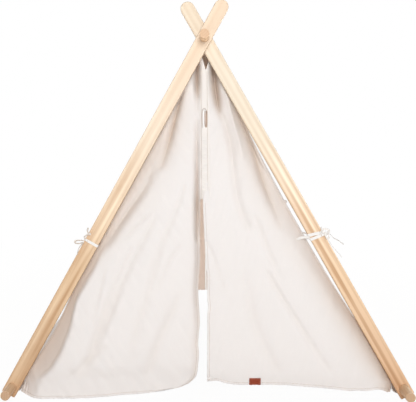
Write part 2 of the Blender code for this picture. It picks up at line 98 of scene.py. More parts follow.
def makeCamera(settings):
    # The photo's own lens and place. The shifts put its horizon and the tent's axis on their pixels.
    width = settings["imageWidth"]
    data = bpy.data.cameras.new("photoCamera")
    data.sensor_width = settings["sensorWidth"]
    data.lens = settings["sensorWidth"] * settings["focalPixels"] / width
    data.shift_x = (width / 2 - settings["axisPixel"]) / width
    data.shift_y = (settings["horizonPixel"] - settings["imageHeight"] / 2) / width
    data.clip_start = settings["clipStart"]
    camera = bpy.data.objects.new("photoCamera", data)
    camera.location = settings["place"]
    camera.rotation_euler = (math.pi / 2, settings["roll"], settings["turn"])
    bpy.context.scene.collection.objects.link(camera)
    bpy.context.scene.camera = camera


makeCamera(cameraSettings)
print("camera placed")


# Materials


class nodeMaker:
    # Short calls for building a node tree.
    def __init__(self, tree):
        self.tree = tree

    def node(self, kind, inputs=None, **settings):
        item = self.tree.nodes.new(kind)
        for key, value in settings.items():
            setattr(item, key, value)
        for key, value in (inputs or {}).items():
            socket = item.inputs[key]
            if isinstance(value, bpy.types.NodeSocket):
                self.tree.links.new(value, socket)
            else:
                socket.default_value = value
        return item

    def feed(self, item, links):
        for key, output in links.items():
            self.tree.links.new(output, item.inputs[key])

    def math(self, operation, first, second=0.0):
        return self.node("ShaderNodeMath", {0: first, 1: second}, operation=operation).outputs[0]

    def centred(self, value, weight):
        return self.math("MULTIPLY", self.math("SUBTRACT", value, 0.5), weight)

    def vector(self, operation, first, second=(0, 0, 0)):
        item = self.node("ShaderNodeVectorMath", {0: first, 1: second}, operation=operation)
        return item.outputs["Value" if operation in ("LENGTH", "DOT_PRODUCT") else "Vector"]

    def mapping(self, vector, location=(0, 0, 0), rotation=(0, 0, 0), scale=(1, 1, 1)):
        inputs = {"Vector": vector, "Location": location, "Rotation": rotation, "Scale": scale}
        return self.node("ShaderNodeMapping", inputs).outputs[0]

    def noise(self, vector, scale, detail=2.0, roughness=0.5):
        inputs = {"Vector": vector, "Scale": scale, "Detail": detail, "Roughness": roughness}
        return self.node("ShaderNodeTexNoise", inputs).outputs["Fac"]

    def ramp(self, value, stops):
        item = self.node("ShaderNodeValToRGB", {"Fac": value})
        elements = item.color_ramp.elements
        while len(elements) < len(stops):
            elements.new(0.5)
        for element, (place, colour) in zip(elements, stops):
            element.position = place
            element.color = (*colour, 1.0)
        return item.outputs["Color"]

    def span(self, value, low, high, start=0.0, stop=1.0, kind="LINEAR"):
        inputs = {"Value": value, "From Min": start, "From Max": stop, "To Min": low, "To Max": high}
        return self.node("ShaderNodeMapRange", inputs, interpolation_type=kind).outputs[0]

    def mix(self, share, first, second, blend="MIX"):
        item = self.node("ShaderNodeMix", data_type="RGBA", blend_type=blend)
        for index, value in ((0, share), (6, first), (7, second)):
            if isinstance(value, bpy.types.NodeSocket):
                self.tree.links.new(value, item.inputs[index])
            else:
                item.inputs[index].default_value = value if index == 0 else (*value, 1.0)
        return item.outputs[2]

    def bump(self, height, distance, strength=1.0, normal=None):
        inputs = {"Height": height, "Distance": distance, "Strength": strength}
        if normal is not None:
            inputs["Normal"] = normal
        return self.node("ShaderNodeBump", inputs).outputs[0]


def newMaterial(name):
    material = bpy.data.materials.new(name)
    material.use_nodes = True
    tree = material.node_tree
    shader = tree.nodes["Principled BSDF"]
    return material, shader, nodeMaker(tree)


woodLook = {
    "light": (0.95, 0.82, 0.66),
    "dark": (0.62, 0.425, 0.275),
    "darkness": 0.42,                         # share of the dark colour where the grain is even
    "endGrain": (0.70, 0.48, 0.31),
    "endGrainDark": (0.54, 0.33, 0.19),
    "endPower": 6.0,                          # how sharply the end grain starts at an end's edge
    "pith": (0.030, 0.034),                   # the rings' middle, beside the stick
    "ringWidth": 0.0070,
    "ringBend": 0.016,
    "ringStretch": 0.012,                     # how slowly a ring's distance grows along the stick
    "ringDepth": 0.30,
    "ringTones": [(0.0, (0.25,) * 3), (0.62, (0.55,) * 3), (0.86, (1.0,) * 3), (1.0, (0.25,) * 3)],
    # Noises: cells to the metre across, across and along, their roughness and how much they tell.
    # The pores have their detail and roughness.
    "bend": (9, 9, 1.1),
    "streak": ((75, 75, 1.5), 0.55, 2.4),
    "cloud": ((30, 30, 6), 0.5, 0.9),
    "fibre": ((900, 900, 12), 0.6, 0.40),
    "pores": ((700, 700, 60), 3.0, 0.7),
    "roughness": (0.47, 0.69),
    "gloss": 0.35,
    "relief": 0.00025,
    "ringRelief": 0.6,                        # how much the rings tell in it, against the fibres
    "bump": 0.6,
    "reach": 1.2,                             # the height that counts as 1 in the tables below
    # How strongly the grain shows, by height
    "contrast": [(0.0, (1.0,) * 3), (0.45, (0.95,) * 3), (0.62, (0.50,) * 3), (0.75, (0.24,) * 3),
                 (1.0, (0.16,) * 3)],
}
dowelWood = {
    **woodLook,
    "light": (0.93, 0.74, 0.55),
    "dark": (0.66, 0.44, 0.28),
    "endGrain": (0.72, 0.53, 0.385),
    "endGrainDark": (0.56, 0.37, 0.24),
    # painted shade by height, as on the slats: darker and warmer low down
    "woodAndShadeTint": [(0.0, (0.82, 0.755, 0.675)), (1.0, (1.0, 0.93, 0.84))],
}
# Broad light and dark bands along the slats: how strong they are, how far the rings' bend moves them and
# the widest place. Then for each side their pitch across, and by height how far outwards from the slat's
# middle a light one runs, and a tint by height that is partly the wood's own colour and partly painted
# light and shade: paler high up, a little darker under the ridge dowel, and darker and warmer towards the
# foot.
slatBands = {
    "depth": 0.26,
    "bend": 0.35,
    "reach": 0.04,
    -1: {
        "pitch": 0.025,
        "place": [(0.0, 0.010), (0.15, 0.007), (0.23, 0.004), (0.32, 0.0005), (0.42, -0.0035),
                  (0.55, -0.0060), (1.0, -0.010)],
        "woodAndShadeTint": [(0.0, (0.73, 0.575, 0.44)), (0.143, (0.78, 0.66, 0.545)), (0.317, (0.82, 0.70, 0.57)),
                 (0.49, (0.935, 0.88, 0.82)), (0.66, (0.965, 0.98, 1.0)), (1.0, (0.925, 0.875, 0.835))],
    },
    1: {
        "pitch": 0.0180,
        "place": [(0.0, 0.0030), (0.20, 0.0050), (0.40, 0.0055), (0.60, 0.0050), (1.0, 0.0040)],
        "woodAndShadeTint": [(0.0, (0.76, 0.56, 0.415)), (0.143, (0.76, 0.60, 0.48)), (0.317, (0.84, 0.71, 0.585)),
                 (0.47, (0.965, 0.905, 0.85)), (0.66, (0.93, 0.975, 1.0)), (0.80, (0.91, 0.96, 0.995)),
                 (1.0, (0.915, 0.925, 0.915))],
    },
}


def woodMaterial(name, look, along, origin, shift=0.0, side=0):
    # Growth rings round a pith line beside the stick and along it: the distance from that line,
    # bent by slow noise, drives a saw-like wave from early to late wood. Streaks, clouds and long
    # fibres lie over it, and on a slat broad bands, a cosine of the place across it. The ends
    # show the wave and pores in a darker pair of colours.
    material, shader, make = newMaterial(name)
    coordinates = make.node("ShaderNodeTexCoord").outputs
    turn = Vector(along).rotation_difference(Vector((0, 0, 1))).to_matrix()
    local = make.mapping(coordinates["Object"], -(turn @ Vector(origin)), turn.to_euler())
    slow = make.noise(make.mapping(local, (shift, 0, shift), scale=look["bend"]), 1.0)
    bend = make.centred(slow, look["ringBend"])
    beside = make.mapping(local, (*look["pith"], 0), scale=(1, 1, look["ringStretch"]))
    distance = make.vector("LENGTH", beside)
    phase = make.math("DIVIDE", make.math("ADD", distance, bend), look["ringWidth"])
    wave = make.ramp(make.math("FRACT", phase), look["ringTones"])
    share = make.centred(wave, look["ringDepth"])
    grain = {}
    for key, place in (("streak", (shift, 0, 0)), ("cloud", (0, shift, 0)), ("fibre", (0, 0, shift))):
        scale, roughness, weight = look[key]
        grain[key] = make.noise(make.mapping(local, place, scale=scale), 1.0, 2.0, roughness)
        share = make.math("ADD", share, make.centred(grain[key], weight))
    height = make.node("ShaderNodeSeparateXYZ", {0: coordinates["Object"]}).outputs["Z"]
    level = make.math("DIVIDE", height, look["reach"])
    if side:
        reach = slatBands["reach"]
        across = make.vector("SUBTRACT", coordinates["Object"], origin)
        across = make.vector("DOT_PRODUCT", across, (side * leanCos, 0, leanSin))
        stops = [(place, (0.5 + value / reach,) * 3) for place, value in slatBands[side]["place"]]
        drift = make.centred(make.ramp(level, stops), reach)
        drift = make.math("ADD", drift, make.math("MULTIPLY", bend, slatBands["bend"]))
        across = make.math("SUBTRACT", across, drift)
        turns = make.math("MULTIPLY", across, 2 * math.pi / slatBands[side]["pitch"])
        band = make.math("MULTIPLY", make.math("COSINE", turns), slatBands["depth"])
        share = make.math("SUBTRACT", share, band)
    share = make.math("MULTIPLY", share, make.ramp(level, look["contrast"]))
    colour = make.mix(make.math("ADD", share, look["darkness"]), look["light"], look["dark"])
    # tint by height: the wood's own colour with painted light and shade, darker and warmer towards the foot
    woodAndShadeTint = make.ramp(level, slatBands[side]["woodAndShadeTint"] if side else look["woodAndShadeTint"])
    colour = make.mix(1.0, colour, woodAndShadeTint, "MULTIPLY")
    scale, detail, roughness = look["pores"]
    pores = make.noise(make.mapping(local, scale=scale), 1.0, detail, roughness)
    endShare = make.math("MULTIPLY", make.math("ADD", wave, pores), 0.5)
    endColour = make.mix(endShare, look["endGrain"], look["endGrainDark"])
    if not side:
        endColour = make.mix(1.0, endColour, woodAndShadeTint, "MULTIPLY")
    facing = make.math("ABSOLUTE", make.vector("DOT_PRODUCT", coordinates["Normal"], along))
    colour = make.mix(make.math("POWER", facing, look["endPower"]), colour, endColour)
    relief = make.math("ADD", grain["fibre"], make.math("MULTIPLY", wave, look["ringRelief"]))
    make.feed(shader, {
        "Base Color": colour,
        "Roughness": make.span(grain["streak"], *look["roughness"]),
        "Normal": make.bump(relief, look["relief"], look["bump"]),
    })
    shader.inputs["Specular IOR Level"].default_value = look["gloss"]
    return material


clothLook = {
    "colour": (0.90, 0.894, 0.897),
    "shade": (0.868, 0.856, 0.852),         # the same cloth where its threads lie thicker
    "slubShare": 0.45,                      # how much thick threads and clouds of shade tell
    "cloudShare": 0.35,
    "shadeOffset": 0.22,
    "weave": 0.00085,                       # thread pitch
    "slub": (420, 14),                      # uneven threads: cells to the metre across and along
    "weftPlace": (3.1, 1.7, 0),             # sets the weft's uneven threads apart from the warp's
    # Noises: cells to the metre, detail and roughness
    "cloud": ((5, 5, 5), 3.0, 0.6),
    "crumple": ((26, 11, 1), 4.0, 0.55),
    "crumpleDepth": 0.0035,
    "threadDepth": 0.00008,
    "slubDepth": 1.2,                       # how much thick threads stand out, against the weave
    "bump": 0.5,
    "roughness": (0.80, 0.94),
    "gloss": 0.2,
    "sheen": 0.12,
    "sheenRoughness": 0.5,
    "throughShare": 0.31,                   # light that each face of the cloth lets through
    "through": (0.96, 0.85, 0.77),
    "hollow": (0.80, 0.70, 0.61),           # painted shade: a darker, warmer tint for creases and beside the slats
}


def clothMaterial(name, look, colour=None, crumple=1.0, throughShare=None):
    # Plain weave from two crossed sine waves in the cloth's own UV, in metres, with thicker and thinner
    # threads along both ways, and a soft crumple under it. A per-point attribute, 0 to 1, multiplies the
    # colour by a darker, warmer tint: painted shade in creases and beside the slats.
    material, shader, make = newMaterial(name)
    base = colour or look["colour"]
    uv = make.node("ShaderNodeTexCoord").outputs["UV"]
    parts = make.node("ShaderNodeSeparateXYZ", {0: uv}).outputs
    turns = 2 * math.pi / look["weave"]
    warp = make.math("SINE", make.math("MULTIPLY", parts[0], turns))
    weft = make.math("SINE", make.math("MULTIPLY", parts[1], turns))
    weave = make.math("MULTIPLY", warp, weft)
    fine, coarse = look["slub"]
    warpSlub = make.noise(make.mapping(uv, scale=(fine, coarse, 1)), 1.0)
    weftSlub = make.noise(make.mapping(uv, look["weftPlace"], scale=(coarse, fine, 1)), 1.0)
    slub = make.math("ADD", warpSlub, weftSlub)
    scale, detail, roughness = look["cloud"]
    cloud = make.noise(make.mapping(uv, scale=scale), 1.0, detail, roughness)
    thick = make.math("MULTIPLY", slub, look["slubShare"])
    share = make.math("ADD", thick, make.math("MULTIPLY", cloud, look["cloudShare"]))
    share = make.math("SUBTRACT", share, look["shadeOffset"])
    pairs = zip(base, look["shade"], look["colour"])
    tone = make.mix(share, base, tuple(own * shade / plain for own, shade, plain in pairs))
    # painted shade: the amount per point of the darker, warmer tint
    hollow = make.node("ShaderNodeAttribute", attribute_name="hollow").outputs["Fac"]
    scale, detail, roughness = look["crumple"]
    folds = make.noise(make.mapping(uv, scale=scale), 1.0, detail, roughness)
    soft = make.bump(folds, look["crumpleDepth"] * crumple, look["bump"])
    threads = make.math("ADD", weave, make.math("MULTIPLY", slub, look["slubDepth"]))
    make.feed(shader, {
        "Base Color": make.mix(hollow, tone, look["hollow"], "MULTIPLY"),
        "Roughness": make.span(make.math("MULTIPLY", slub, 0.5), *look["roughness"]),
        "Normal": make.bump(threads, look["threadDepth"], look["bump"], soft),
    })
    shader.inputs["Specular IOR Level"].default_value = look["gloss"]
    shader.inputs["Sheen Weight"].default_value = look["sheen"]
    shader.inputs["Sheen Roughness"].default_value = look["sheenRoughness"]
    through = make.node("ShaderNodeBsdfTranslucent", {"Color": (*look["through"], 1.0)})
    share = throughShare or look["throughShare"]
    both = make.node("ShaderNodeMixShader", {0: share, 1: shader.outputs[0], 2: through.outputs[0]})
    make.feed(make.tree.nodes["Material Output"], {"Surface": both.outputs[0]})
    return material


threadLook = {
    "twist": (900, 300, 1),
    "shade": 0.8,                           # the twist's dark side, as a share of the colour
    "roughness": (0.6, 0.8),
    "relief": 0.0001,
    "bump": 0.5,
}


def threadMaterial(name, look, colour):
    # Twisted thread: fine slanting bands in the UV that runs along it.
    material, shader, make = newMaterial(name)
    uv = make.mapping(make.node("ShaderNodeTexCoord").outputs["UV"], scale=look["twist"])
    inputs = {"Vector": uv, "Scale": 1.0}
    twist = make.node("ShaderNodeTexWave", inputs, bands_direction="DIAGONAL").outputs["Fac"]
    make.feed(shader, {
        "Base Color": make.mix(twist, colour, tuple(look["shade"] * value for value in colour)),
        "Roughness": make.span(twist, *look["roughness"]),
        "Normal": make.bump(twist, look["relief"], look["bump"]),
    })
    return material


def leanDirection(side):
    return (side * leanSin, 0.0, -leanCos)


ridgePoint = (0, 0, tent["ridgeHeight"])
finish = {
    "leftPine": woodMaterial("leftPine", woodLook, leanDirection(-1), ridgePoint, side=-1),
    "rightPine": woodMaterial("rightPine", woodLook, leanDirection(1), ridgePoint, shift=3.7, side=1),
    "ridgeDowel": woodMaterial("ridgeDowelWood", dowelWood, (0, 1, 0), ridgePoint, shift=1.3),
    "baseDowel": woodMaterial("baseDowelWood", dowelWood, (0, 1, 0), (0.5, 0, 0), shift=5.9),
    "cotton": clothMaterial("cottonCanvas", clothLook),
    "backCotton": clothMaterial("cottonBackWall", clothLook, throughShare=0.42),
    "placket": clothMaterial("cottonPlacket", clothLook, (0.93, 0.91, 0.89), crumple=0.6),
    "tape": clothMaterial("cottonTape", clothLook, (0.87, 0.85, 0.83), crumple=0.3, throughShare=0.10),
    "label": clothMaterial("labelWeave", clothLook, (0.33, 0.055, 0.022), crumple=0.2),
    "thread": threadMaterial("sewingThread", threadLook, (0.71, 0.60, 0.52)),
    "brownThread": threadMaterial("brownThread", threadLook, (0.36, 0.22, 0.14)),
    "tanThread": threadMaterial("tanThread", threadLook, (0.52, 0.38, 0.28)),
    "labelThread": threadMaterial("labelThread", threadLook, (0.50, 0.16, 0.10)),
}
print("materials made:", len(finish))


# Meshes from grids of points


def gridFaces(rows, columns, around):
    # Quads of a grid of points, and their corners in its UV. With around, the last column joins
    # the first one, and the UV has one column more.
    quadColumns = columns if around else columns - 1
    row, column = np.meshgrid(np.arange(rows - 1), np.arange(quadColumns), indexing="ij")
    after = (column + 1) % columns
    corners = [row * columns + column, row * columns + after,
               (row + 1) * columns + after, (row + 1) * columns + column]
    wide = quadColumns + 1
    uvCorners = [row * wide + column, row * wide + column + 1,
                 (row + 1) * wide + column + 1, (row + 1) * wide + column]
    return np.stack(corners, axis=-1).reshape(-1, 4), np.stack(uvCorners, axis=-1).reshape(-1)


def lengthUv(points, around):
    # UV in metres: mean distance between columns across, mean distance between rows down.
    closed = np.concatenate([points, points[:, :1]], axis=1) if around else points
    across = np.linalg.norm(np.diff(closed, axis=1), axis=-1)
    down = np.linalg.norm(np.diff(closed, axis=0), axis=-1).mean(axis=1)
    u = np.concatenate([np.zeros((len(across), 1)), np.cumsum(across, axis=1)], axis=1)
    v = np.concatenate([[0.0], np.cumsum(down)])
    return np.stack([u, np.broadcast_to(v[:, None], u.shape)], axis=-1)


def meshPiece(name, grids, material, body, node=None, around=False, caps=False, sharp=50,
              hole=None):
    # One object from several grids of points, each a strip or, with around, a tube with or
    # without closed ends. The quads marked in hole are left out and its rims welded.
    points, faces, uvs, capFaces = [], [], [], []
    count = 0
    for grid in grids:
        rows, columns = grid.shape[:2]
        quads, uvIndex = gridFaces(rows, columns, around)
        if hole is not None:
            kept = ~hole.reshape(-1)
            quads, uvIndex = quads[kept], uvIndex.reshape(-1, 4)[kept].reshape(-1)
        points.append(grid.reshape(-1, 3))
        faces.append(quads + count)
        uvs.append(lengthUv(grid, around).reshape(-1, 2)[uvIndex])
        if caps:
            capFaces.append((np.arange(columns)[::-1] + count).tolist())
            capFaces.append((np.arange(columns) + count + (rows - 1) * columns).tolist())
        count += rows * columns
    mesh = bpy.data.meshes.new(name)
    mesh.from_pydata(np.concatenate(points).tolist(), [], np.concatenate(faces).tolist() + capFaces)
    uvLayer = mesh.uv_layers.new(name="cut")
    flat = np.zeros((len(mesh.loops), 2))
    quadUvs = np.concatenate(uvs)
    flat[: len(quadUvs)] = quadUvs
    uvLayer.data.foreach_set("uv", flat.ravel())
    if hole is not None or (around and caps):
        solid = bmesh.new()
        solid.from_mesh(mesh)
        if hole is not None:
            bmesh.ops.remove_doubles(solid, verts=solid.verts, dist=tent["weldDistance"])
        else:
            bmesh.ops.recalc_face_normals(solid, faces=solid.faces)
        solid.to_mesh(mesh)
        solid.free()
    mesh.shade_smooth()
    mesh.set_sharp_from_angle(angle=math.radians(sharp))
    mesh.materials.append(finish[material])
    piece = bpy.data.objects.new(name, mesh)
    bpy.context.scene.collection.objects.link(piece)
    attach(piece, body)
    if node:
        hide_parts(node)
    return piece


def meshThreads(name, threads, material, body):
    return meshPiece(name, threads, material, body, around=True, caps=True)


def setPaintedShade(piece, hollow):
    # Per point, for the cloth's material: how much painted shade darkens and warms its colour there.
    layer = piece.data.attributes.new("hollow", "FLOAT", "POINT")
    layer.data.foreach_set("value", np.ascontiguousarray(hollow, dtype=np.float32).ravel())


def thicken(piece, thickness=tent["clothThickness"]):
    wall = piece.modifiers.new("clothThickness", "SOLIDIFY")
    wall.thickness = thickness
    wall.offset = 0
    wall.use_rim = True


def smoothStep(value):
    share = np.clip(value, 0.0, 1.0)
    return share * share * (3 - 2 * share)


def smoothTable(at, table, column=1):
    # A smooth curve through the rows of a table, by the first column: cubic pieces whose slopes
    # are the harmonic means of their neighbours', so that it never overshoots a row.
    rows = np.array(sorted(table))
    knots, values = rows[:, 0], rows[:, column]
    steps = np.diff(values) / np.diff(knots)
    slopes = np.zeros(len(knots))
    slopes[0], slopes[-1] = steps[0], steps[-1]
    same = steps[1:] * steps[:-1] > 0
    total = np.where(same, steps[1:] + steps[:-1], 1.0)
    slopes[1:-1] = np.where(same, 2 * steps[1:] * steps[:-1] / total, 0.0)
    at = np.clip(at, knots[0], knots[-1])
    index = np.clip(np.searchsorted(knots, at, side="right") - 1, 0, len(knots) - 2)
    gap = knots[index + 1] - knots[index]
    t = (at - knots[index]) / gap
    return (
        (1 + 2 * t) * (1 - t) ** 2 * values[index]
        + t * (1 - t) ** 2 * gap * slopes[index]
        + t**2 * (3 - 2 * t) * values[index + 1]
        + t**2 * (t - 1) * gap * slopes[index + 1]
    )


foldLook = {
    "fadeLength": 0.03,      # over which a fold's ends fade out, or
    "fadeShare": 0.3,        # this share of a short one's length
    "rounding": 0.02,        # of a fold's bottom, in squared half widths
    "crease": 1.3,           # sharpness of a crease, a fold and a soft bell
    "fold": 1.7,
    "bell": 2.0,
    "rippleWaves": 14,
    "rippleSpread": 0.28,    # of the ripples' directions, in radians
}


def ripple(x, z, seed, lean, shortest, longest):
    # Small random wrinkles: a sum of cosines whose crests lie near one direction.
    waves = foldLook["rippleWaves"]
    random = np.random.default_rng(seed)
    angle = lean + random.normal(0, foldLook["rippleSpread"], waves)
    number = 2 * math.pi / random.uniform(shortest, longest, waves)
    phase = random.uniform(0, 2 * math.pi, waves)
    total = 0
    for k in range(waves):
        total = total + np.cos(number[k] * (x * math.cos(angle[k]) + z * math.sin(angle[k])) + phase[k])
    return total / waves**0.5


def foldRelief(x, z, folds, sharpness=foldLook["bell"]):
    # Sum of folds. Each is a line of rows (height, place, half width, depth); across it the cloth
    # sinks by depth times e to the minus distance, in half widths, to the power of sharpness: 2 is
    # a soft bell and 1.3 a crease. A negative depth is a ridge.
    relief = np.zeros(np.broadcast(x, z).shape)
    rounding = foldLook["rounding"]
    for rows in folds:
        centre, width, depth = (smoothTable(z, rows, column) for column in (1, 2, 3))
        top = max(row[0] for row in rows)
        low = min(row[0] for row in rows)
        ends = min(foldLook["fadeLength"], foldLook["fadeShare"] * (top - low))
        fade = smoothStep((top - z) / ends) * smoothStep((z - low) / ends)
        away = np.sqrt(((x - centre) / width) ** 2 + rounding)
        relief = relief + depth * fade * np.exp(rounding ** (sharpness / 2) - away**sharpness)
    return relief


def evenRuns(*runs):
    # Even steps within each run of (start, end, points). Neighbours share their end point.
    return np.concatenate([np.linspace(*runs[0])] + [np.linspace(*run)[1:] for run in runs[1:]])


def slatLine(z):
    # Distance from the middle of the slats' middle plane, at a height.
    return (tent["ridgeHeight"] - z) * leanTan


# Where the end walls are sewn to the side walls: height, and how far inside the slats' middle
frontSeam = {
    -1: [(1.06, -0.014), (1.0, 0.004), (0.93, 0.016), (0.81, 0.0195), (0.60, 0.0183), (0.45, 0.0183),
         (0.35, 0.0206), (0.28, 0.0246), (0.24, 0.0290), (0.197, 0.0322), (0.15, 0.0310), (0.11, 0.0246),
         (0.098, 0.0225), (0.085, 0.0180), (0.065, 0.0160), (0.049, 0.0222), (0.0305, 0.0263),
         (0.0119, 0.0288), (0.0008, 0.0305)],
    1: [(1.06, -0.014), (1.0, 0.004), (0.93, 0.016), (0.86, 0.0205), (0.81, 0.0246), (0.70, 0.0345),
        (0.60, 0.0385), (0.50, 0.0385), (0.40, 0.0372), (0.30, 0.0320), (0.22, 0.0246), (0.15, 0.0190),
        (0.0915, 0.0186), (0.0607, 0.0225), (0.0443, 0.0218), (0.035, 0.0280), (0.0143, 0.0430)],
}
backSeam = {
    -1: [(1.06, -0.014), (1.0, 0.004), (0.92, 0.018), (0.80, 0.025), (0.60, 0.033), (0.42, 0.034),
         (0.30, 0.030), (0.20, 0.024), (0.12, 0.020), (0.08, 0.0215), (0.055, 0.026), (0.03, 0.030),
         (0.010, 0.0365)],
    1: [(1.06, -0.014), (1.0, 0.004), (0.92, 0.016), (0.80, 0.023), (0.60, 0.030), (0.42, 0.036),
        (0.30, 0.031), (0.20, 0.025), (0.12, 0.021), (0.08, 0.0215), (0.055, 0.026), (0.03, 0.030),
        (0.010, 0.0365)],
}


# End walls

noTuck = [(1.0, 0.01, 0.0, 0.0), (0.0, 0.01, 0.0, 0.0)]
nowhere = [(1.0, 0.0), (0.0, 0.0)]

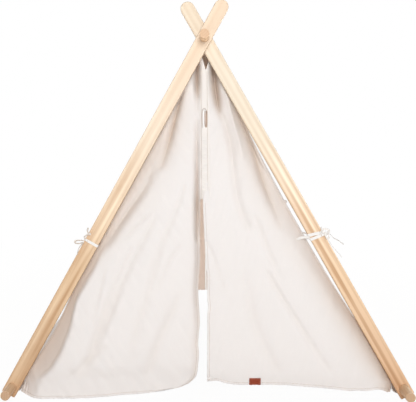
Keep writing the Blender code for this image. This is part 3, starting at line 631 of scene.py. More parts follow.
leftFlap = {
    "side": -1,
    "end": -1,
    "node": "front_left_flap",
    # By height: how deep the painted shade beside the slat is
    "sideShade": [(1.0, 0.1), (0.92, 0.15), (0.85, 0.36), (0.8, 0.44), (0.5, 0.44), (0.43, 0.36),
                  (0.36, 0.12), (0.0, 0.08)],
    # The strip tucked in beside the slat: height, its width, how deep its painted shade is and the step
    # from the cloth down to it
    "tuck": [(0.56, 0.022, 0.0, 0.0), (0.43, 0.0275, 0.35, 0.006), (0.391, 0.0300, 0.60, 0.010),
             (0.355, 0.0280, 0.70, 0.013), (0.306, 0.0250, 0.72, 0.014), (0.264, 0.0330, 0.70, 0.015),
             (0.219, 0.0440, 0.66, 0.015), (0.174, 0.0530, 0.64, 0.015), (0.125, 0.0620, 0.62, 0.014),
             (0.089, 0.0660, 0.55, 0.011), (0.0675, 0.0560, 0.40, 0.006), (0.052, 0.0400, 0.20, 0.002),
             (0.035, 0.030, 0.0, 0.0)],
    "flat": (0.63, 1.10),
    "top": 1.050,
    # The outline seen from the front: the edge towards the middle by height, and the hem's height
    "innerEdge": [(1.05, -0.0140), (1.02, -0.0085), (0.985, 0.0), (0.95, 0.002), (0.89, 0.002),
                  (0.868, -0.0015), (0.80, -0.0015), (0.78, 0.002), (0.66, 0.002), (0.64, -0.0020),
                  (0.605, -0.0120), (0.585, -0.0155), (0.517, -0.0170), (0.412, -0.0175), (0.318, -0.0230),
                  (0.225, -0.0185), (0.164, -0.0235), (0.134, -0.0215), (0.100, -0.0240), (0.067, -0.0290),
                  (0.047, -0.0430), (0.031, -0.0690), (0.024, -0.0950)],
    "hem": [(-0.0950, 0.0240), (-0.143, 0.0150), (-0.174, 0.0100), (-0.28, 0.0060), (-0.31, 0.0045),
            (-0.40, 0.0030), (-0.455, 0.0020), (-0.508, 0.0016), (-0.5465, 0.0012)],
    # By height: how far the cloth stands out, how wide the roll beside the slat is, how round
    # and how sharp it is, how far the cloth sinks back inwards, and how far its free edge curls in
    "bulge": [(1.04, 0.0), (0.90, 0.014), (0.75, 0.030), (0.60, 0.038), (0.45, 0.038), (0.40, 0.039),
              (0.35, 0.048), (0.30, 0.058), (0.20, 0.070), (0.15, 0.073), (0.11, 0.072), (0.05, 0.058),
              (0.0, 0.050)],
    "roll": [(0.95, 0.030), (0.85, 0.055), (0.75, 0.073), (0.60, 0.073), (0.50, 0.058), (0.43, 0.044),
             (0.35, 0.038), (0.306, 0.034), (0.264, 0.042), (0.219, 0.054), (0.174, 0.063), (0.125, 0.074),
             (0.089, 0.078), (0.0675, 0.070), (0.050, 0.060), (0.025, 0.058), (0.0, 0.058)],
    "rollPower": [(1.0, 1.7), (0.45, 1.7), (0.36, 1.15), (0.0, 1.05)],
    "corner": [(1.0, 8), (0.45, 8), (0.36, 18), (0.0, 18)],
    "inward": [(1.0, 0.0), (0.6, 0.008), (0.4, 0.016), (0.2, 0.034), (0.0, 0.030)],
    "inwardFrom": 0.15,
    "curl": [(0.86, 0.0), (0.70, 0.002), (0.60, 0.010), (0.50, 0.018), (0.40, 0.022), (0.30, 0.018),
             (0.15, 0.010), (0.05, 0.008), (0.0, 0.006)],
    "curlWidth": 0.0125,
    "edgeShade": [(0.64, 0.0), (0.56, 0.25), (0.25, 0.35), (0.0, 0.25)],    # painted shade along that edge
    # Creases and folds, as rows of height, place, half width and depth
    "creases": [
        [(1.03, -0.0235, 0.0065, 0.020), (1.00, -0.0240, 0.0080, 0.034), (0.955, -0.0240, 0.0085, 0.034),
         (0.92, -0.0240, 0.0080, 0.022), (0.89, -0.0240, 0.0075, 0.008), (0.84, -0.0235, 0.0070, 0.002)],
        [(0.86, -0.0240, 0.0070, 0.003), (0.79, -0.0245, 0.0070, 0.010), (0.71, -0.0250, 0.0072, 0.015),
         (0.64, -0.0252, 0.0075, 0.021), (0.58, -0.0250, 0.0075, 0.024), (0.52, -0.0245, 0.0075, 0.018),
         (0.45, -0.0240, 0.0070, 0.007)],
        [(0.95, -0.064, 0.0050, 0.009), (0.916, -0.070, 0.0065, 0.017), (0.88, -0.080, 0.0080, 0.020),
         (0.835, -0.093, 0.0100, 0.020), (0.771, -0.109, 0.0120, 0.018), (0.72, -0.124, 0.0150, 0.013),
         (0.67, -0.143, 0.0170, 0.007)],
        [(0.0470, -0.5530, 0.0020, 0.004), (0.0401, -0.5537, 0.0024, 0.008),
         (0.0248, -0.5554, 0.0028, 0.008), (0.0095, -0.5570, 0.0024, 0.005),
         (0.0010, -0.5575, 0.0020, 0.003)],
        [(0.0340, -0.5447, 0.0018, 0.002), (0.0249, -0.5452, 0.0022, 0.004),
         (0.0096, -0.5462, 0.0022, 0.004), (0.0010, -0.5467, 0.0020, 0.002)],
        [(0.0560, -0.5475, 0.0020, 0.002), (0.0524, -0.5444, 0.0024, 0.003),
         (0.0433, -0.5352, 0.0026, 0.003), (0.0380, -0.5300, 0.0020, 0.001)],
    ],
    "folds": [
        [(0.70, -0.155, 0.0140, 0.005), (0.647, -0.174, 0.0150, 0.009), (0.599, -0.204, 0.0150, 0.013),
         (0.556, -0.235, 0.0140, 0.014), (0.496, -0.275, 0.0140, 0.012), (0.43, -0.315, 0.0120, 0.006)],
        [(0.56, -0.145, 0.0120, 0.003), (0.493, -0.177, 0.0110, 0.006), (0.362, -0.245, 0.0120, 0.006),
         (0.234, -0.304, 0.0150, 0.006), (0.051, -0.372, 0.0180, 0.003)],
        [(0.66, -0.060, 0.0080, 0.002), (0.602, -0.074, 0.0080, 0.004), (0.441, -0.138, 0.0110, 0.005),
         (0.290, -0.181, 0.0140, 0.005), (0.153, -0.216, 0.0160, 0.003), (0.08, -0.24, 0.0160, 0.001)],
        [(0.47, -0.215, 0.0080, 0.002), (0.441, -0.229, 0.0080, 0.004), (0.320, -0.285, 0.0100, 0.005),
         (0.183, -0.332, 0.0130, 0.004), (0.10, -0.36, 0.0130, 0.001)],
        [(0.33, -0.080, 0.0120, 0.002), (0.275, -0.097, 0.0130, 0.006), (0.157, -0.149, 0.0150, 0.007),
         (0.054, -0.180, 0.0170, 0.004)],
        [(0.57, -0.150, 0.0070, 0.001), (0.542, -0.178, 0.0075, 0.004), (0.497, -0.226, 0.0080, 0.004),
         (0.46, -0.258, 0.0080, 0.001)],
        [(0.48, -0.062, 0.0060, 0.001), (0.455, -0.079, 0.0070, 0.003), (0.417, -0.106, 0.0080, 0.004),
         (0.357, -0.134, 0.0080, 0.003), (0.31, -0.150, 0.0080, 0.001)],
        [(0.41, -0.298, 0.0070, 0.001), (0.383, -0.305, 0.0080, 0.003), (0.311, -0.320, 0.0085, 0.004),
         (0.239, -0.334, 0.0090, 0.003), (0.20, -0.345, 0.0090, 0.001)],
        [(0.34, -0.245, 0.0070, 0.001), (0.317, -0.257, 0.0080, 0.003), (0.245, -0.287, 0.0090, 0.004),
         (0.167, -0.321, 0.0100, 0.002), (0.14, -0.335, 0.0100, 0.001)],
        [(0.19, -0.285, 0.0140, 0.001), (0.158, -0.312, 0.0150, 0.005), (0.116, -0.357, 0.0160, 0.006),
         (0.074, -0.397, 0.0150, 0.004), (0.05, -0.420, 0.0140, 0.001)],
    ],
    "ripple": (11, 0.50, 0.0008),       # seed, direction and height
}

rightFlap = {
    "side": 1,
    "end": -1,
    "node": "front_right_flap",
    "sideShade": [(1.0, 0.1), (0.92, 0.2), (0.85, 0.32), (0.8, 0.34), (0.5, 0.36), (0.25, 0.88),
                  (0.0, 1.0)],
    "tuck": noTuck,
    "flat": (0.63, 1.08),
    "top": 1.050,
    "innerEdge": [(1.05, 0.0170), (1.02, 0.0150), (0.985, 0.0045), (0.95, 0.0022), (0.89, 0.0022),
                  (0.868, 0.0095), (0.80, 0.0095), (0.78, 0.0022), (0.64, 0.0022), (0.615, -0.0030),
                  (0.593, -0.0070), (0.472, -0.0030), (0.394, 0.0010), (0.366, 0.0050), (0.306, 0.0040),
                  (0.267, 0.0065), (0.249, 0.0040), (0.140, 0.0032), (0.045, 0.0020)],
    "hem": [(0.003, 0.0450), (0.029, 0.0485), (0.062, 0.0405), (0.094, 0.0360), (0.221, 0.0380),
            (0.300, 0.0345), (0.369, 0.0305), (0.423, 0.0255), (0.446, 0.0268), (0.4726, 0.0262),
            (0.4909, 0.0290), (0.5073, 0.0320), (0.5253, 0.0275), (0.5362, 0.0205), (0.5524, 0.0130)],
    "bulge": [(1.04, 0.0), (0.90, 0.014), (0.75, 0.030), (0.60, 0.035), (0.45, 0.034), (0.35, 0.034),
              (0.25, 0.038), (0.15, 0.042), (0.08, 0.038), (0.04, 0.030), (0.0, 0.022)],
    "roll": [(0.95, 0.030), (0.85, 0.055), (0.75, 0.072), (0.60, 0.070), (0.473, 0.060), (0.341, 0.050),
             (0.228, 0.054), (0.142, 0.056), (0.077, 0.046), (0.045, 0.036), (0.02, 0.026)],
    "rollPower": [(1.0, 1.7), (0.30, 1.6), (0.15, 1.4), (0.0, 1.3)],
    "corner": [(1.0, 8), (0.0, 8)],
    "inward": [(1.0, 0.0), (0.6, 0.006), (0.4, 0.008), (0.2, 0.012), (0.0, 0.012)],
    "inwardFrom": 0.02,
    "curl": [(0.70, 0.0), (0.55, 0.0015), (0.30, 0.002), (0.0, 0.001)],
    "curlWidth": 0.0085,
    "edgeShade": nowhere,
    "creases": [
        [(1.03, 0.0230, 0.0065, 0.014), (1.009, 0.0260, 0.0085, 0.028), (0.970, 0.0290, 0.0110, 0.042),
         (0.925, 0.0335, 0.0115, 0.042), (0.8795, 0.0400, 0.0105, 0.028), (0.850, 0.0450, 0.0095, 0.010),
         (0.820, 0.0520, 0.0085, 0.003)],
        [(0.94, 0.0720, 0.0055, 0.007), (0.903, 0.0830, 0.0080, 0.014), (0.863, 0.0980, 0.0105, 0.017),
         (0.820, 0.1160, 0.0125, 0.018), (0.773, 0.1360, 0.0130, 0.019), (0.743, 0.1480, 0.0140, 0.018),
         (0.683, 0.1640, 0.0145, 0.017), (0.623, 0.1830, 0.0140, 0.015), (0.580, 0.2000, 0.0140, 0.011),
         (0.532, 0.2170, 0.0140, 0.006), (0.49, 0.233, 0.0140, 0.003)],
    ],
    "folds": [
        [(0.87, 0.0460, 0.0100, 0.003), (0.834, 0.0580, 0.0110, 0.008), (0.788, 0.0700, 0.0115, 0.011),
         (0.746, 0.0790, 0.0115, 0.010), (0.683, 0.0850, 0.0120, 0.008), (0.623, 0.0920, 0.0130, 0.008),
         (0.547, 0.1130, 0.0140, 0.008), (0.487, 0.1390, 0.0150, 0.004)],
        [(0.93, 0.0580, 0.0055, -0.004), (0.915, 0.0640, 0.0060, -0.008), (0.833, 0.0850, 0.0075, -0.009),
         (0.755, 0.1060, 0.0090, -0.006), (0.70, 0.1160, 0.0100, -0.003)],
        [(0.56, 0.1450, 0.0100, 0.002), (0.538, 0.1520, 0.0100, 0.004), (0.457, 0.1810, 0.0100, 0.005),
         (0.376, 0.2170, 0.0110, 0.003), (0.34, 0.235, 0.0110, 0.001)],
        [(0.40, 0.1780, 0.0100, 0.002), (0.349, 0.2010, 0.0100, 0.006), (0.218, 0.2810, 0.0110, 0.006),
         (0.119, 0.3430, 0.0120, 0.004), (0.06, 0.3850, 0.0120, 0.001)],
        [(0.40, 0.1150, 0.0140, 0.001), (0.241, 0.1440, 0.0180, 0.005), (0.139, 0.1850, 0.0180, 0.005),
         (0.060, 0.2240, 0.0180, 0.003)],
        [(0.49, -0.006, 0.0060, 0.001), (0.462, 0.006, 0.0070, 0.003), (0.411, 0.026, 0.0080, 0.003),
         (0.343, 0.048, 0.0090, 0.002), (0.30, 0.060, 0.0090, 0.001)],
    ],
    "ripple": (23, math.pi - 0.50, 0.0007),
}


def backFlap(side, node, seed):
    # The two halves of the back wall are mirror images, apart from their ripples.
    creases = [
        [(0.99, 0.018, 0.006, 0.006), (0.90, 0.030, 0.008, 0.012), (0.75, 0.060, 0.010, 0.008),
         (0.60, 0.090, 0.012, 0.004)],
    ]
    folds = [
        [(0.84, 0.085, 0.009, 0.004), (0.70, 0.140, 0.012, 0.009), (0.52, 0.215, 0.014, 0.007),
         (0.38, 0.285, 0.016, 0.002)],
        [(0.62, 0.060, 0.014, 0.003), (0.42, 0.110, 0.016, 0.007), (0.20, 0.150, 0.020, 0.007),
         (0.07, 0.170, 0.022, 0.004)],
        [(0.45, 0.215, 0.014, 0.003), (0.28, 0.300, 0.018, 0.008), (0.08, 0.380, 0.020, 0.005)],
    ]
    return {
        "side": side,
        "end": 1,
        "node": node,
        "sideShade": [(1.0, 0.45), (0.0, 0.5)],
        "tuck": noTuck,
        "flat": (0.63, 1.06),
        "top": 1.050,
        "innerEdge": [(1.05, side * 0.0022), (0.055, side * 0.0022)],
        "hem": [(side * 0.002, 0.055), (side * 0.12, 0.052), (side * 0.26, 0.040), (side * 0.40, 0.024),
                (side * 0.50, 0.014), (side * 0.563, 0.009)],
        "bulge": [(1.04, 0.0), (0.90, 0.004), (0.70, 0.012), (0.50, 0.018), (0.30, 0.024), (0.15, 0.028),
                  (0.0, 0.026)],
        "roll": [(0.90, 0.030), (0.60, 0.046), (0.30, 0.040), (0.12, 0.044), (0.0, 0.022)],
        "rollPower": [(1.0, 1.6), (0.0, 1.3)],
        "corner": [(1.0, 8), (0.0, 8)],
        "inward": [(1.0, 0.0), (0.6, 0.008), (0.3, 0.014), (0.0, 0.016)],
        "inwardFrom": 0.02,
        "curl": nowhere,
        "curlWidth": 0.0085,
        "edgeShade": nowhere,
        "creases": [[(z, side * x, width, depth) for z, x, width, depth in rows] for rows in creases],
        "folds": [[(z, side * x, width, depth) for z, x, width, depth in rows] for rows in folds],
        "ripple": (seed, math.pi / 2 + side * 1.05, 0.0009),
    }


wallLook = {
    "columns": ((0.0, 0.12, 30), (0.12, 0.95, 108), (0.95, 1.0, 22)),
    "rows": ((0.0, 0.978, 230), (0.978, 1.0, 15)),
    "hemPower": 5,               # how late the rows of points bend to the hem
    "heldWidth": 0.012,          # beside the side seam, where no fold runs
    "inwardTo": 0.43,            # from the side seam, where the cloth has sunk back the whole way
    # blend of the tucked strip's painted shade
    "tuckBlend": 0.014,
    "tuckShadeBlend": 0.010,
    "rollShadeWidth": 1.1,             # width of the painted shade beside the slat, in widths of the roll
    # width of the painted shade at the free edge
    "edgeShadeWidth": 0.02,
    "foldShadeShare": 0.5,             # how much folds tell in the painted shade, against creases
    "fullShadeDepth": 0.03,            # depth of a crease whose painted shade is the deepest
    "rippleWaves": (0.018, 0.07),
    "slitTop": 0.60,
    "slitBlend": 0.03,
    # Gathers beside the door's hem and the low one: height, pitch, how uneven it is, at what
    # pace, and their width
    "doorGathers": (0.0011, 0.0105, 2.2, 61, 0.010),
    "lowGathers": (0.0008, 0.0135, 2.0, 47, 0.010),
    "lowHem": 0.0092,            # widths of the doubled cloth of both hems
    "doorHem": 0.0088,
    "hemBlend": 0.0014,
    "hemProud": 0.0009,
    # Stitch lines: from the edge, then where along it they start and stop, and their points
    "lowStitches": (0.0076, 0.004, 0.994, 900),
    "doorStitches": (0.0073, 0.585, 0.985, 900),
    "seamStitches": (0.006, 0.10, 0.985, 1200),
    "flatShare": 0.56,           # area of the cut half wall, a triangle, in its width times height
}


def flapPlace(wall, u, v):
    # Where a half end wall's points lie seen from the front, and how far from the side seam and
    # the inner edge. u runs from the inner edge to the side seam and v from the top to the hem.
    # The height goes evenly from the top to the hem's curve, and the place from the inner edge's
    # curve to the seam.
    side, end = wall["side"], wall["end"]
    seamTable = frontSeam[side] if end < 0 else backSeam[side]
    low = min(row[0] for row in seamTable)
    seamZ = wall["top"] + (low - wall["top"]) * v
    middleLow = min(row[0] for row in wall["innerEdge"])
    middleZ = wall["top"] + (middleLow - wall["top"]) * v
    seamX = side * (slatLine(seamZ) - smoothTable(seamZ, seamTable))
    middleX = smoothTable(middleZ, wall["innerEdge"])
    x = middleX + (seamX - middleX) * u
    z = middleZ + (seamZ - middleZ) * u
    hemRow = np.array(wall["hem"])
    hemX = hemRow[0, 0] + (hemRow[-1, 0] - hemRow[0, 0]) * u
    hemZ = smoothTable(hemX, wall["hem"])
    z = z + (hemZ - (middleLow + (low - middleLow) * u)) * v ** wallLook["hemPower"]
    return x, z, np.abs(seamX - x), np.abs(x - middleX), (1 - v) * (wall["top"] - middleLow)


def flapPaintedShade(wall, u, v):
    # How much painted shade a place gets, from 0 to 1: the depth of its creases and half that of its folds,
    # a bell from the side seam beside the slat, the tucked strip, and a bell from the free edge.
    x, z, fromSeam, fromMiddle, _ = flapPlace(wall, u, v)
    folds = np.maximum(foldRelief(x, z, wall["folds"]), 0)
    crease = foldRelief(x, z, wall["creases"], foldLook["crease"]) + wallLook["foldShadeShare"] * folds
    beside = np.exp(-((fromSeam / (wallLook["rollShadeWidth"] * smoothTable(z, wall["roll"]))) ** 2))
    tucked = smoothStep((smoothTable(z, wall["tuck"]) - fromSeam) / wallLook["tuckShadeBlend"] + 0.5)
    shade = smoothTable(z, wall["sideShade"]) * beside + smoothTable(z, wall["tuck"], 2) * tucked
    edge = np.exp(-((fromMiddle / wallLook["edgeShadeWidth"]) ** 2))
    shade = shade + smoothTable(z, wall["edgeShade"]) * edge
    return np.clip(crease / wallLook["fullShadeDepth"] + shade, 0, 1)


def gathers(along, fromEdge, height, pitch, uneven, pace, width):
    # Small gathers beside a hem: a cosine of the way along it, whose pitch wavers, that dies away
    # from the hem as a bell.
    wave = np.cos(2 * math.pi * along / pitch + uneven * np.sin(along * pace))
    return height * wave * np.exp(-((fromEdge / width) ** 2))


def flapSurface(wall, u, v):
    # A half end wall over its places. In depth the cloth leaves the seam steeply and rounds over
    # a roll: 1 less a softened (1 - distance in widths of the roll), to a power. From there it
    # sinks back inwards, into the tucked strip, its folds and creases, its curled edge, small
    # ripples and the hems' gathers. Hems stand proud of it.
    x, z, fromSeam, fromMiddle, fromHem = flapPlace(wall, u, v)
    rise = fromSeam / smoothTable(z, wall["roll"])
    corner = smoothTable(z, wall["corner"])
    left = np.log1p(np.exp(corner * (1 - rise))) / corner
    rolled = np.clip(1 - left ** smoothTable(z, wall["rollPower"]), 0, None)
    depth = smoothTable(z, wall["bulge"]) * rolled
    start = wall["inwardFrom"]
    sunk = smoothStep((fromSeam - start) / (wallLook["inwardTo"] - start))
    depth = depth - smoothTable(z, wall["inward"]) * sunk
    held = smoothStep(fromSeam / wallLook["heldWidth"])
    strip = smoothTable(z, wall["tuck"])
    tucked = smoothStep((strip - fromSeam) / wallLook["tuckBlend"] + 0.5)
    depth = depth - smoothTable(z, wall["tuck"], 3) * tucked * np.clip(fromSeam / strip, 0, 1)
    folds = foldRelief(x, z, wall["folds"], foldLook["fold"])
    depth = depth - held * (folds + foldRelief(x, z, wall["creases"], foldLook["crease"]))
    depth = depth - smoothTable(z, wall["curl"]) * np.exp(-((fromMiddle / wall["curlWidth"]) ** 2))
    seed, lean, height = wall["ripple"]
    depth = depth + held * height * ripple(x, z, seed, lean, *wallLook["rippleWaves"])
    isFront = wall["end"] < 0
    parted = smoothStep((wallLook["slitTop"] - z) / wallLook["slitBlend"]) if isFront else 0 * z
    depth = depth + parted * gathers(z, fromMiddle, *wallLook["doorGathers"])
    depth = depth + gathers(x, fromHem, *wallLook["lowGathers"])
    blend = wallLook["hemBlend"]
    doorHem = parted * smoothStep((wallLook["doorHem"] - fromMiddle) / blend)
    doubled = np.maximum(smoothStep((wallLook["lowHem"] - fromHem) / blend), doorHem)
    depth = depth + wallLook["hemProud"] * doubled
    return np.stack([x, wall["end"] * (tent["clothPlane"] + depth), z], axis=-1)


def roundTube(path, facing, radius, sides=tent["cordSides"]):
    # A round tube along a path: circles across it.
    tangent = np.gradient(path, axis=0)
    tangent /= np.linalg.norm(tangent, axis=-1, keepdims=True)
    sideways = np.cross(tangent, facing)
    sideways /= np.linalg.norm(sideways, axis=-1, keepdims=True)
    upward = np.cross(sideways, tangent)
    angle = np.linspace(0, 2 * math.pi, sides + 1)[:-1, None]
    ring = np.cos(angle) * sideways[:, None] + np.sin(angle) * upward[:, None]
    return path[:, None] + radius * ring


def threadLine(surface, u, v, lift):
    # A sewn line: a thin round thread that follows the cloth and dips under it at each stitch.
    # Its height over the cloth is a cosine of the way along it.
    path = surface(u, v)
    small = 1e-4
    alongU = surface(u + small, v) - surface(u - small, v)
    alongV = surface(u, v + small) - surface(u, v - small)
    normal = np.cross(alongU, alongV)
    normal /= np.linalg.norm(normal, axis=-1, keepdims=True)
    way = np.concatenate([[0], np.cumsum(np.linalg.norm(np.diff(path, axis=0), axis=-1))])
    steps = np.arange(0, way[-1], tent["stitchPitch"] / tent["stitchSteps"])
    path = np.stack([np.interp(steps, way, path[:, k]) for k in range(3)], axis=-1)
    normal = np.stack([np.interp(steps, way, normal[:, k]) for k in range(3)], axis=-1)
    wave = np.cos(2 * math.pi * steps / tent["stitchPitch"])
    dip = math.copysign(tent["threadDip"] * tent["threadRadius"], lift)
    path = path + normal * (lift + dip * wave)[:, None]
    return roundTube(path, normal, tent["threadRadius"], tent["threadSides"])


def foldAway(piece):
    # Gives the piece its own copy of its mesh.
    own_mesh(piece)


def bodyOf(side):
    return "left_frame" if side < 0 else "right_frame"


def nodeAt(side, end, kind):
    return ("front_" if end < 0 else "back_") + ("left_" if side < 0 else "right_") + kind


def makeFlap(wall, label):
    side, end = wall["side"], wall["end"]
    outwards = side * end
    surface = partial(flapSurface, wall)
    columns = evenRuns(*wallLook["columns"])[::-outwards]
    u, v = np.meshgrid(columns, evenRuns(*wallLook["rows"]), indexing="xy")
    cloth = "cotton" if end < 0 else "backCotton"
    piece = meshPiece(label, [surface(u, v)], cloth, bodyOf(side), wall["node"])
    # painted shade: how much each point's colour is darkened and warmed
    setPaintedShade(piece, flapPaintedShade(wall, u, v))
    thicken(piece)

    height = wall["top"] - min(row[0] for row in wall["innerEdge"])
    inset, *line = wallLook["lowStitches"]
    across = np.linspace(*line)
    lines = [(across, np.full_like(across, 1 - inset / height))]
    if end < 0:
        inset, slitTop, stop, count = wallLook["doorStitches"]
        down = np.linspace((wall["top"] - slitTop) / height, stop, count)
        lines.append((inset / flapWidth(surface, down), down))
    inset, *line = wallLook["seamStitches"]
    down = np.linspace(*line)
    lines.append((1 - inset / flapWidth(surface, down), down))
    lift = outwards * tent["clothThickness"] / 2
    threads = [threadLine(surface, across, down, lift) for across, down in lines]
    stitches = meshThreads(label + "Stitches", threads, "thread", bodyOf(side))
    foldAway(piece)
    foldAway(stitches)


def flapWidth(surface, down):
    ends = [surface(np.full_like(down, across), down)[:, 0] for across in (0.0, 1.0)]
    return np.abs(ends[1] - ends[0])


makeFlap(leftFlap, "leftDoorFlap")
makeFlap(rightFlap, "rightDoorFlap")
makeFlap(backFlap(-1, "back_left_panel", 31), "leftBackWall")
makeFlap(backFlap(1, "back_right_panel", 37), "rightBackWall")
print("end walls made")


# Side walls and the sleeves round the dowels

sleeves = {
    "ridgeRadius": 0.0168,
    "ridgeThickness": 0.0009,
    "ridgeWrinkles": (0.0003, 61, 0.3, 0.02, 0.08),     # height, seed, direction, shortest, longest
    "ridgeSides": 64,
    "ridgeRows": 120,
    "ridgeReach": 0.0008,     # how far past the end walls' cloth a sleeve goes
    "baseReach": 0.0012,
    "baseSides": 120,
    "baseRows": ((-1.0, -0.7, 40), (-0.7, 1.0, 70)),
    "snug": 0.0164,
    "slack": 0.014,
    "slackAngle": 30,         # below level, inwards, where a base sleeve hangs loosest
    "wrinkles": (0.0009, 41, 0.2, 0.03, 0.12),
    "degreeLength": 0.004,    # what a degree round a sleeve counts as in its wrinkles
    "ridgeDegreeLength": 0.003,
    "lowest": 0.0008,         # over the floor
    "mouthReach": 0.115,      # how far a front mouth's shape goes into the sleeve
    "sewnAngle": 60.8,        # where a side wall meets its sleeve, up from level, inwards
    "sewnAtMouth": {-1: 44, 1: 32},
    # A front mouth: angle up from level, inwards, and distance from the dowel's middle
    "mouth": {
        -1: [(-180, 0.0158), (-135, 0.0170), (-100, 0.0240), (-73, 0.0300), (-48, 0.0250), (-2, 0.0245),
             (29, 0.0350), (44, 0.0450), (60, 0.0380), (90, 0.0280), (120, 0.0190), (180, 0.0158)],
        1: [(-180, 0.0158), (-135, 0.0168), (-90, 0.0230), (-60, 0.0260), (-25, 0.0300), (5, 0.0290),
            (32, 0.0260), (60, 0.0205), (90, 0.0178), (180, 0.0158)],
    },
}

sideWall = {
    "flat": (0.99, 1.19),
    "columns": 160,
    "rows": ((0.0, 0.97, 170), (0.97, 1.0, 13)),
    "reach": 0.0008,             # past the end walls' cloth
    "seamTop": (1.088, -0.0193),
    "edgeShare": 0.45,           # of the depth, over which the end walls' seams draw it in
    "fade": 0.06,                # of the height, where folds and wrinkles end at its top and foot
    "landingPower": 20,          # how late it bends to its place on the base sleeve
    "wrinkles": (0.0011, 53, 0.35, 0.05, 0.30),
    "seamShade": (0.5, 0.05),     # how deep the painted shade beside the end walls is, and how wide
    "underRidgeShade": (0.97, 0.05),     # the height where the painted shade under the ridge starts, and its blend
    "edgeStitches": 0.006,
    "rowStitches": (0.026, 0.984),
    "stitchRun": (0.004, 0.996, 1000),
    "middle": [(1.088, -0.0193), (0.95, -0.012), (0.75, -0.002), (0.50, 0.006), (0.30, 0.004),
               (0.15, -0.002), (0.0524, 0.0)],
    # Folds, as rows of height, place along the ridge, half width and depth
    "folds": [
        [(0.62, -0.452, 0.010, 0.001), (0.52, -0.448, 0.012, 0.006), (0.42, -0.452, 0.012, 0.001)],
        [(0.56, -0.44, 0.010, 0.002), (0.50, -0.39, 0.016, 0.006), (0.44, -0.28, 0.024, 0.003),
         (0.40, -0.18, 0.03, 0.001)],
        [(0.50, -0.43, 0.010, 0.002), (0.40, -0.37, 0.018, 0.006), (0.26, -0.27, 0.028, 0.004),
         (0.14, -0.20, 0.03, 0.001)],
        [(0.56, 0.44, 0.010, 0.002), (0.49, 0.38, 0.016, 0.006), (0.42, 0.26, 0.024, 0.003),
         (0.38, 0.16, 0.03, 0.001)],
        [(0.50, 0.43, 0.010, 0.002), (0.39, 0.36, 0.018, 0.005), (0.24, 0.26, 0.028, 0.003),
         (0.12, 0.20, 0.03, 0.001)],
        [(1.04, -0.20, 0.012, 0.001), (0.94, -0.17, 0.018, 0.004), (0.80, -0.12, 0.026, 0.003),
         (0.66, -0.08, 0.03, 0.001)],
        [(1.04, 0.16, 0.012, 0.001), (0.93, 0.14, 0.018, 0.004), (0.77, 0.10, 0.026, 0.003),
         (0.64, 0.07, 0.03, 0.001)],
    ],
}


def mouthShare(y):
    # A bell from the front end of a base sleeve: 1 at its mouth.
    return np.exp(-(((y + tent["clothPlane"]) / sleeves["mouthReach"]) ** 2))


def sleevePoint(side, angle, y):
    # A base sleeve's place across the tent at an angle in degrees, up from level, inwards. Its
    # radius is a snug one with slack on the low inner side, and blends into the mouth's table.
    angle = (np.asarray(angle, float) + 180) % 360 - 180
    hang = 0.5 + 0.5 * np.cos(np.radians(angle + sleeves["slackAngle"]))
    height, *wrinkles = sleeves["wrinkles"]
    radius = sleeves["snug"] + sleeves["slack"] * hang
    radius = radius + height * hang * ripple(y, sleeves["degreeLength"] * angle, *wrinkles)
    radius = radius + (smoothTable(angle, sleeves["mouth"][side]) - radius) * mouthShare(y)
    turn = np.radians(angle)
    x = side * (dowelCentre[0] - radius * np.cos(turn))
    z = dowelCentre[1] + radius * np.sin(turn)
    return x, np.maximum(z, sleeves["lowest"])


def sewnAngle(side, y):
    mouth = sleeves["sewnAtMouth"][side]
    return sleeves["sewnAngle"] + (mouth - sleeves["sewnAngle"]) * mouthShare(y)


def wallInset(side, z, frontShare, backShare):
    # How far inside the slats' middle a side wall lies: what the seams with the end walls say,
    # each by its share, and between them a slight hollow.
    top = [sideWall["seamTop"]]
    inset = frontShare * smoothTable(z, frontSeam[side] + top)
    inset = inset + backShare * smoothTable(z, backSeam[side] + top)
    return inset + (1 - frontShare - backShare) * smoothTable(z, sideWall["middle"])


def sidePanel(side, u, v):
    # A side wall. u runs from front to back and v from the ridge sleeve to the base sleeve. The
    # seams' shares are half cosines of u. Ripples and folds lie over it, and it lands on the base
    # sleeve's own point.
    reach = tent["clothPlane"] + sideWall["reach"]
    y = reach * (2 * u - 1)
    endX, endZ = sleevePoint(side, sewnAngle(side, y), y)
    top = sideWall["seamTop"][0]
    z = top + (endZ - top) * v
    frontShare = 0.5 + 0.5 * np.cos(math.pi * np.clip(u / sideWall["edgeShare"], 0, 1))
    backShare = 0.5 + 0.5 * np.cos(math.pi * np.clip((1 - u) / sideWall["edgeShare"], 0, 1))
    inset = wallInset(side, z, frontShare, backShare)
    ends = smoothStep(v / sideWall["fade"]) * smoothStep((1 - v) / sideWall["fade"])
    height, seed, *wrinkles = sideWall["wrinkles"]
    wrinkled = height * ripple(y, z, seed + side, *wrinkles) * (1 - frontShare) * (1 - backShare)
    inset = inset + ends * (wrinkled + foldRelief(y, z, sideWall["folds"]))
    landing = slatLine(endZ) - side * endX - wallInset(side, endZ, frontShare, backShare)
    inset = inset + landing * v ** sideWall["landingPower"]
    return np.stack([side * (slatLine(z) - inset), y, z], axis=-1)


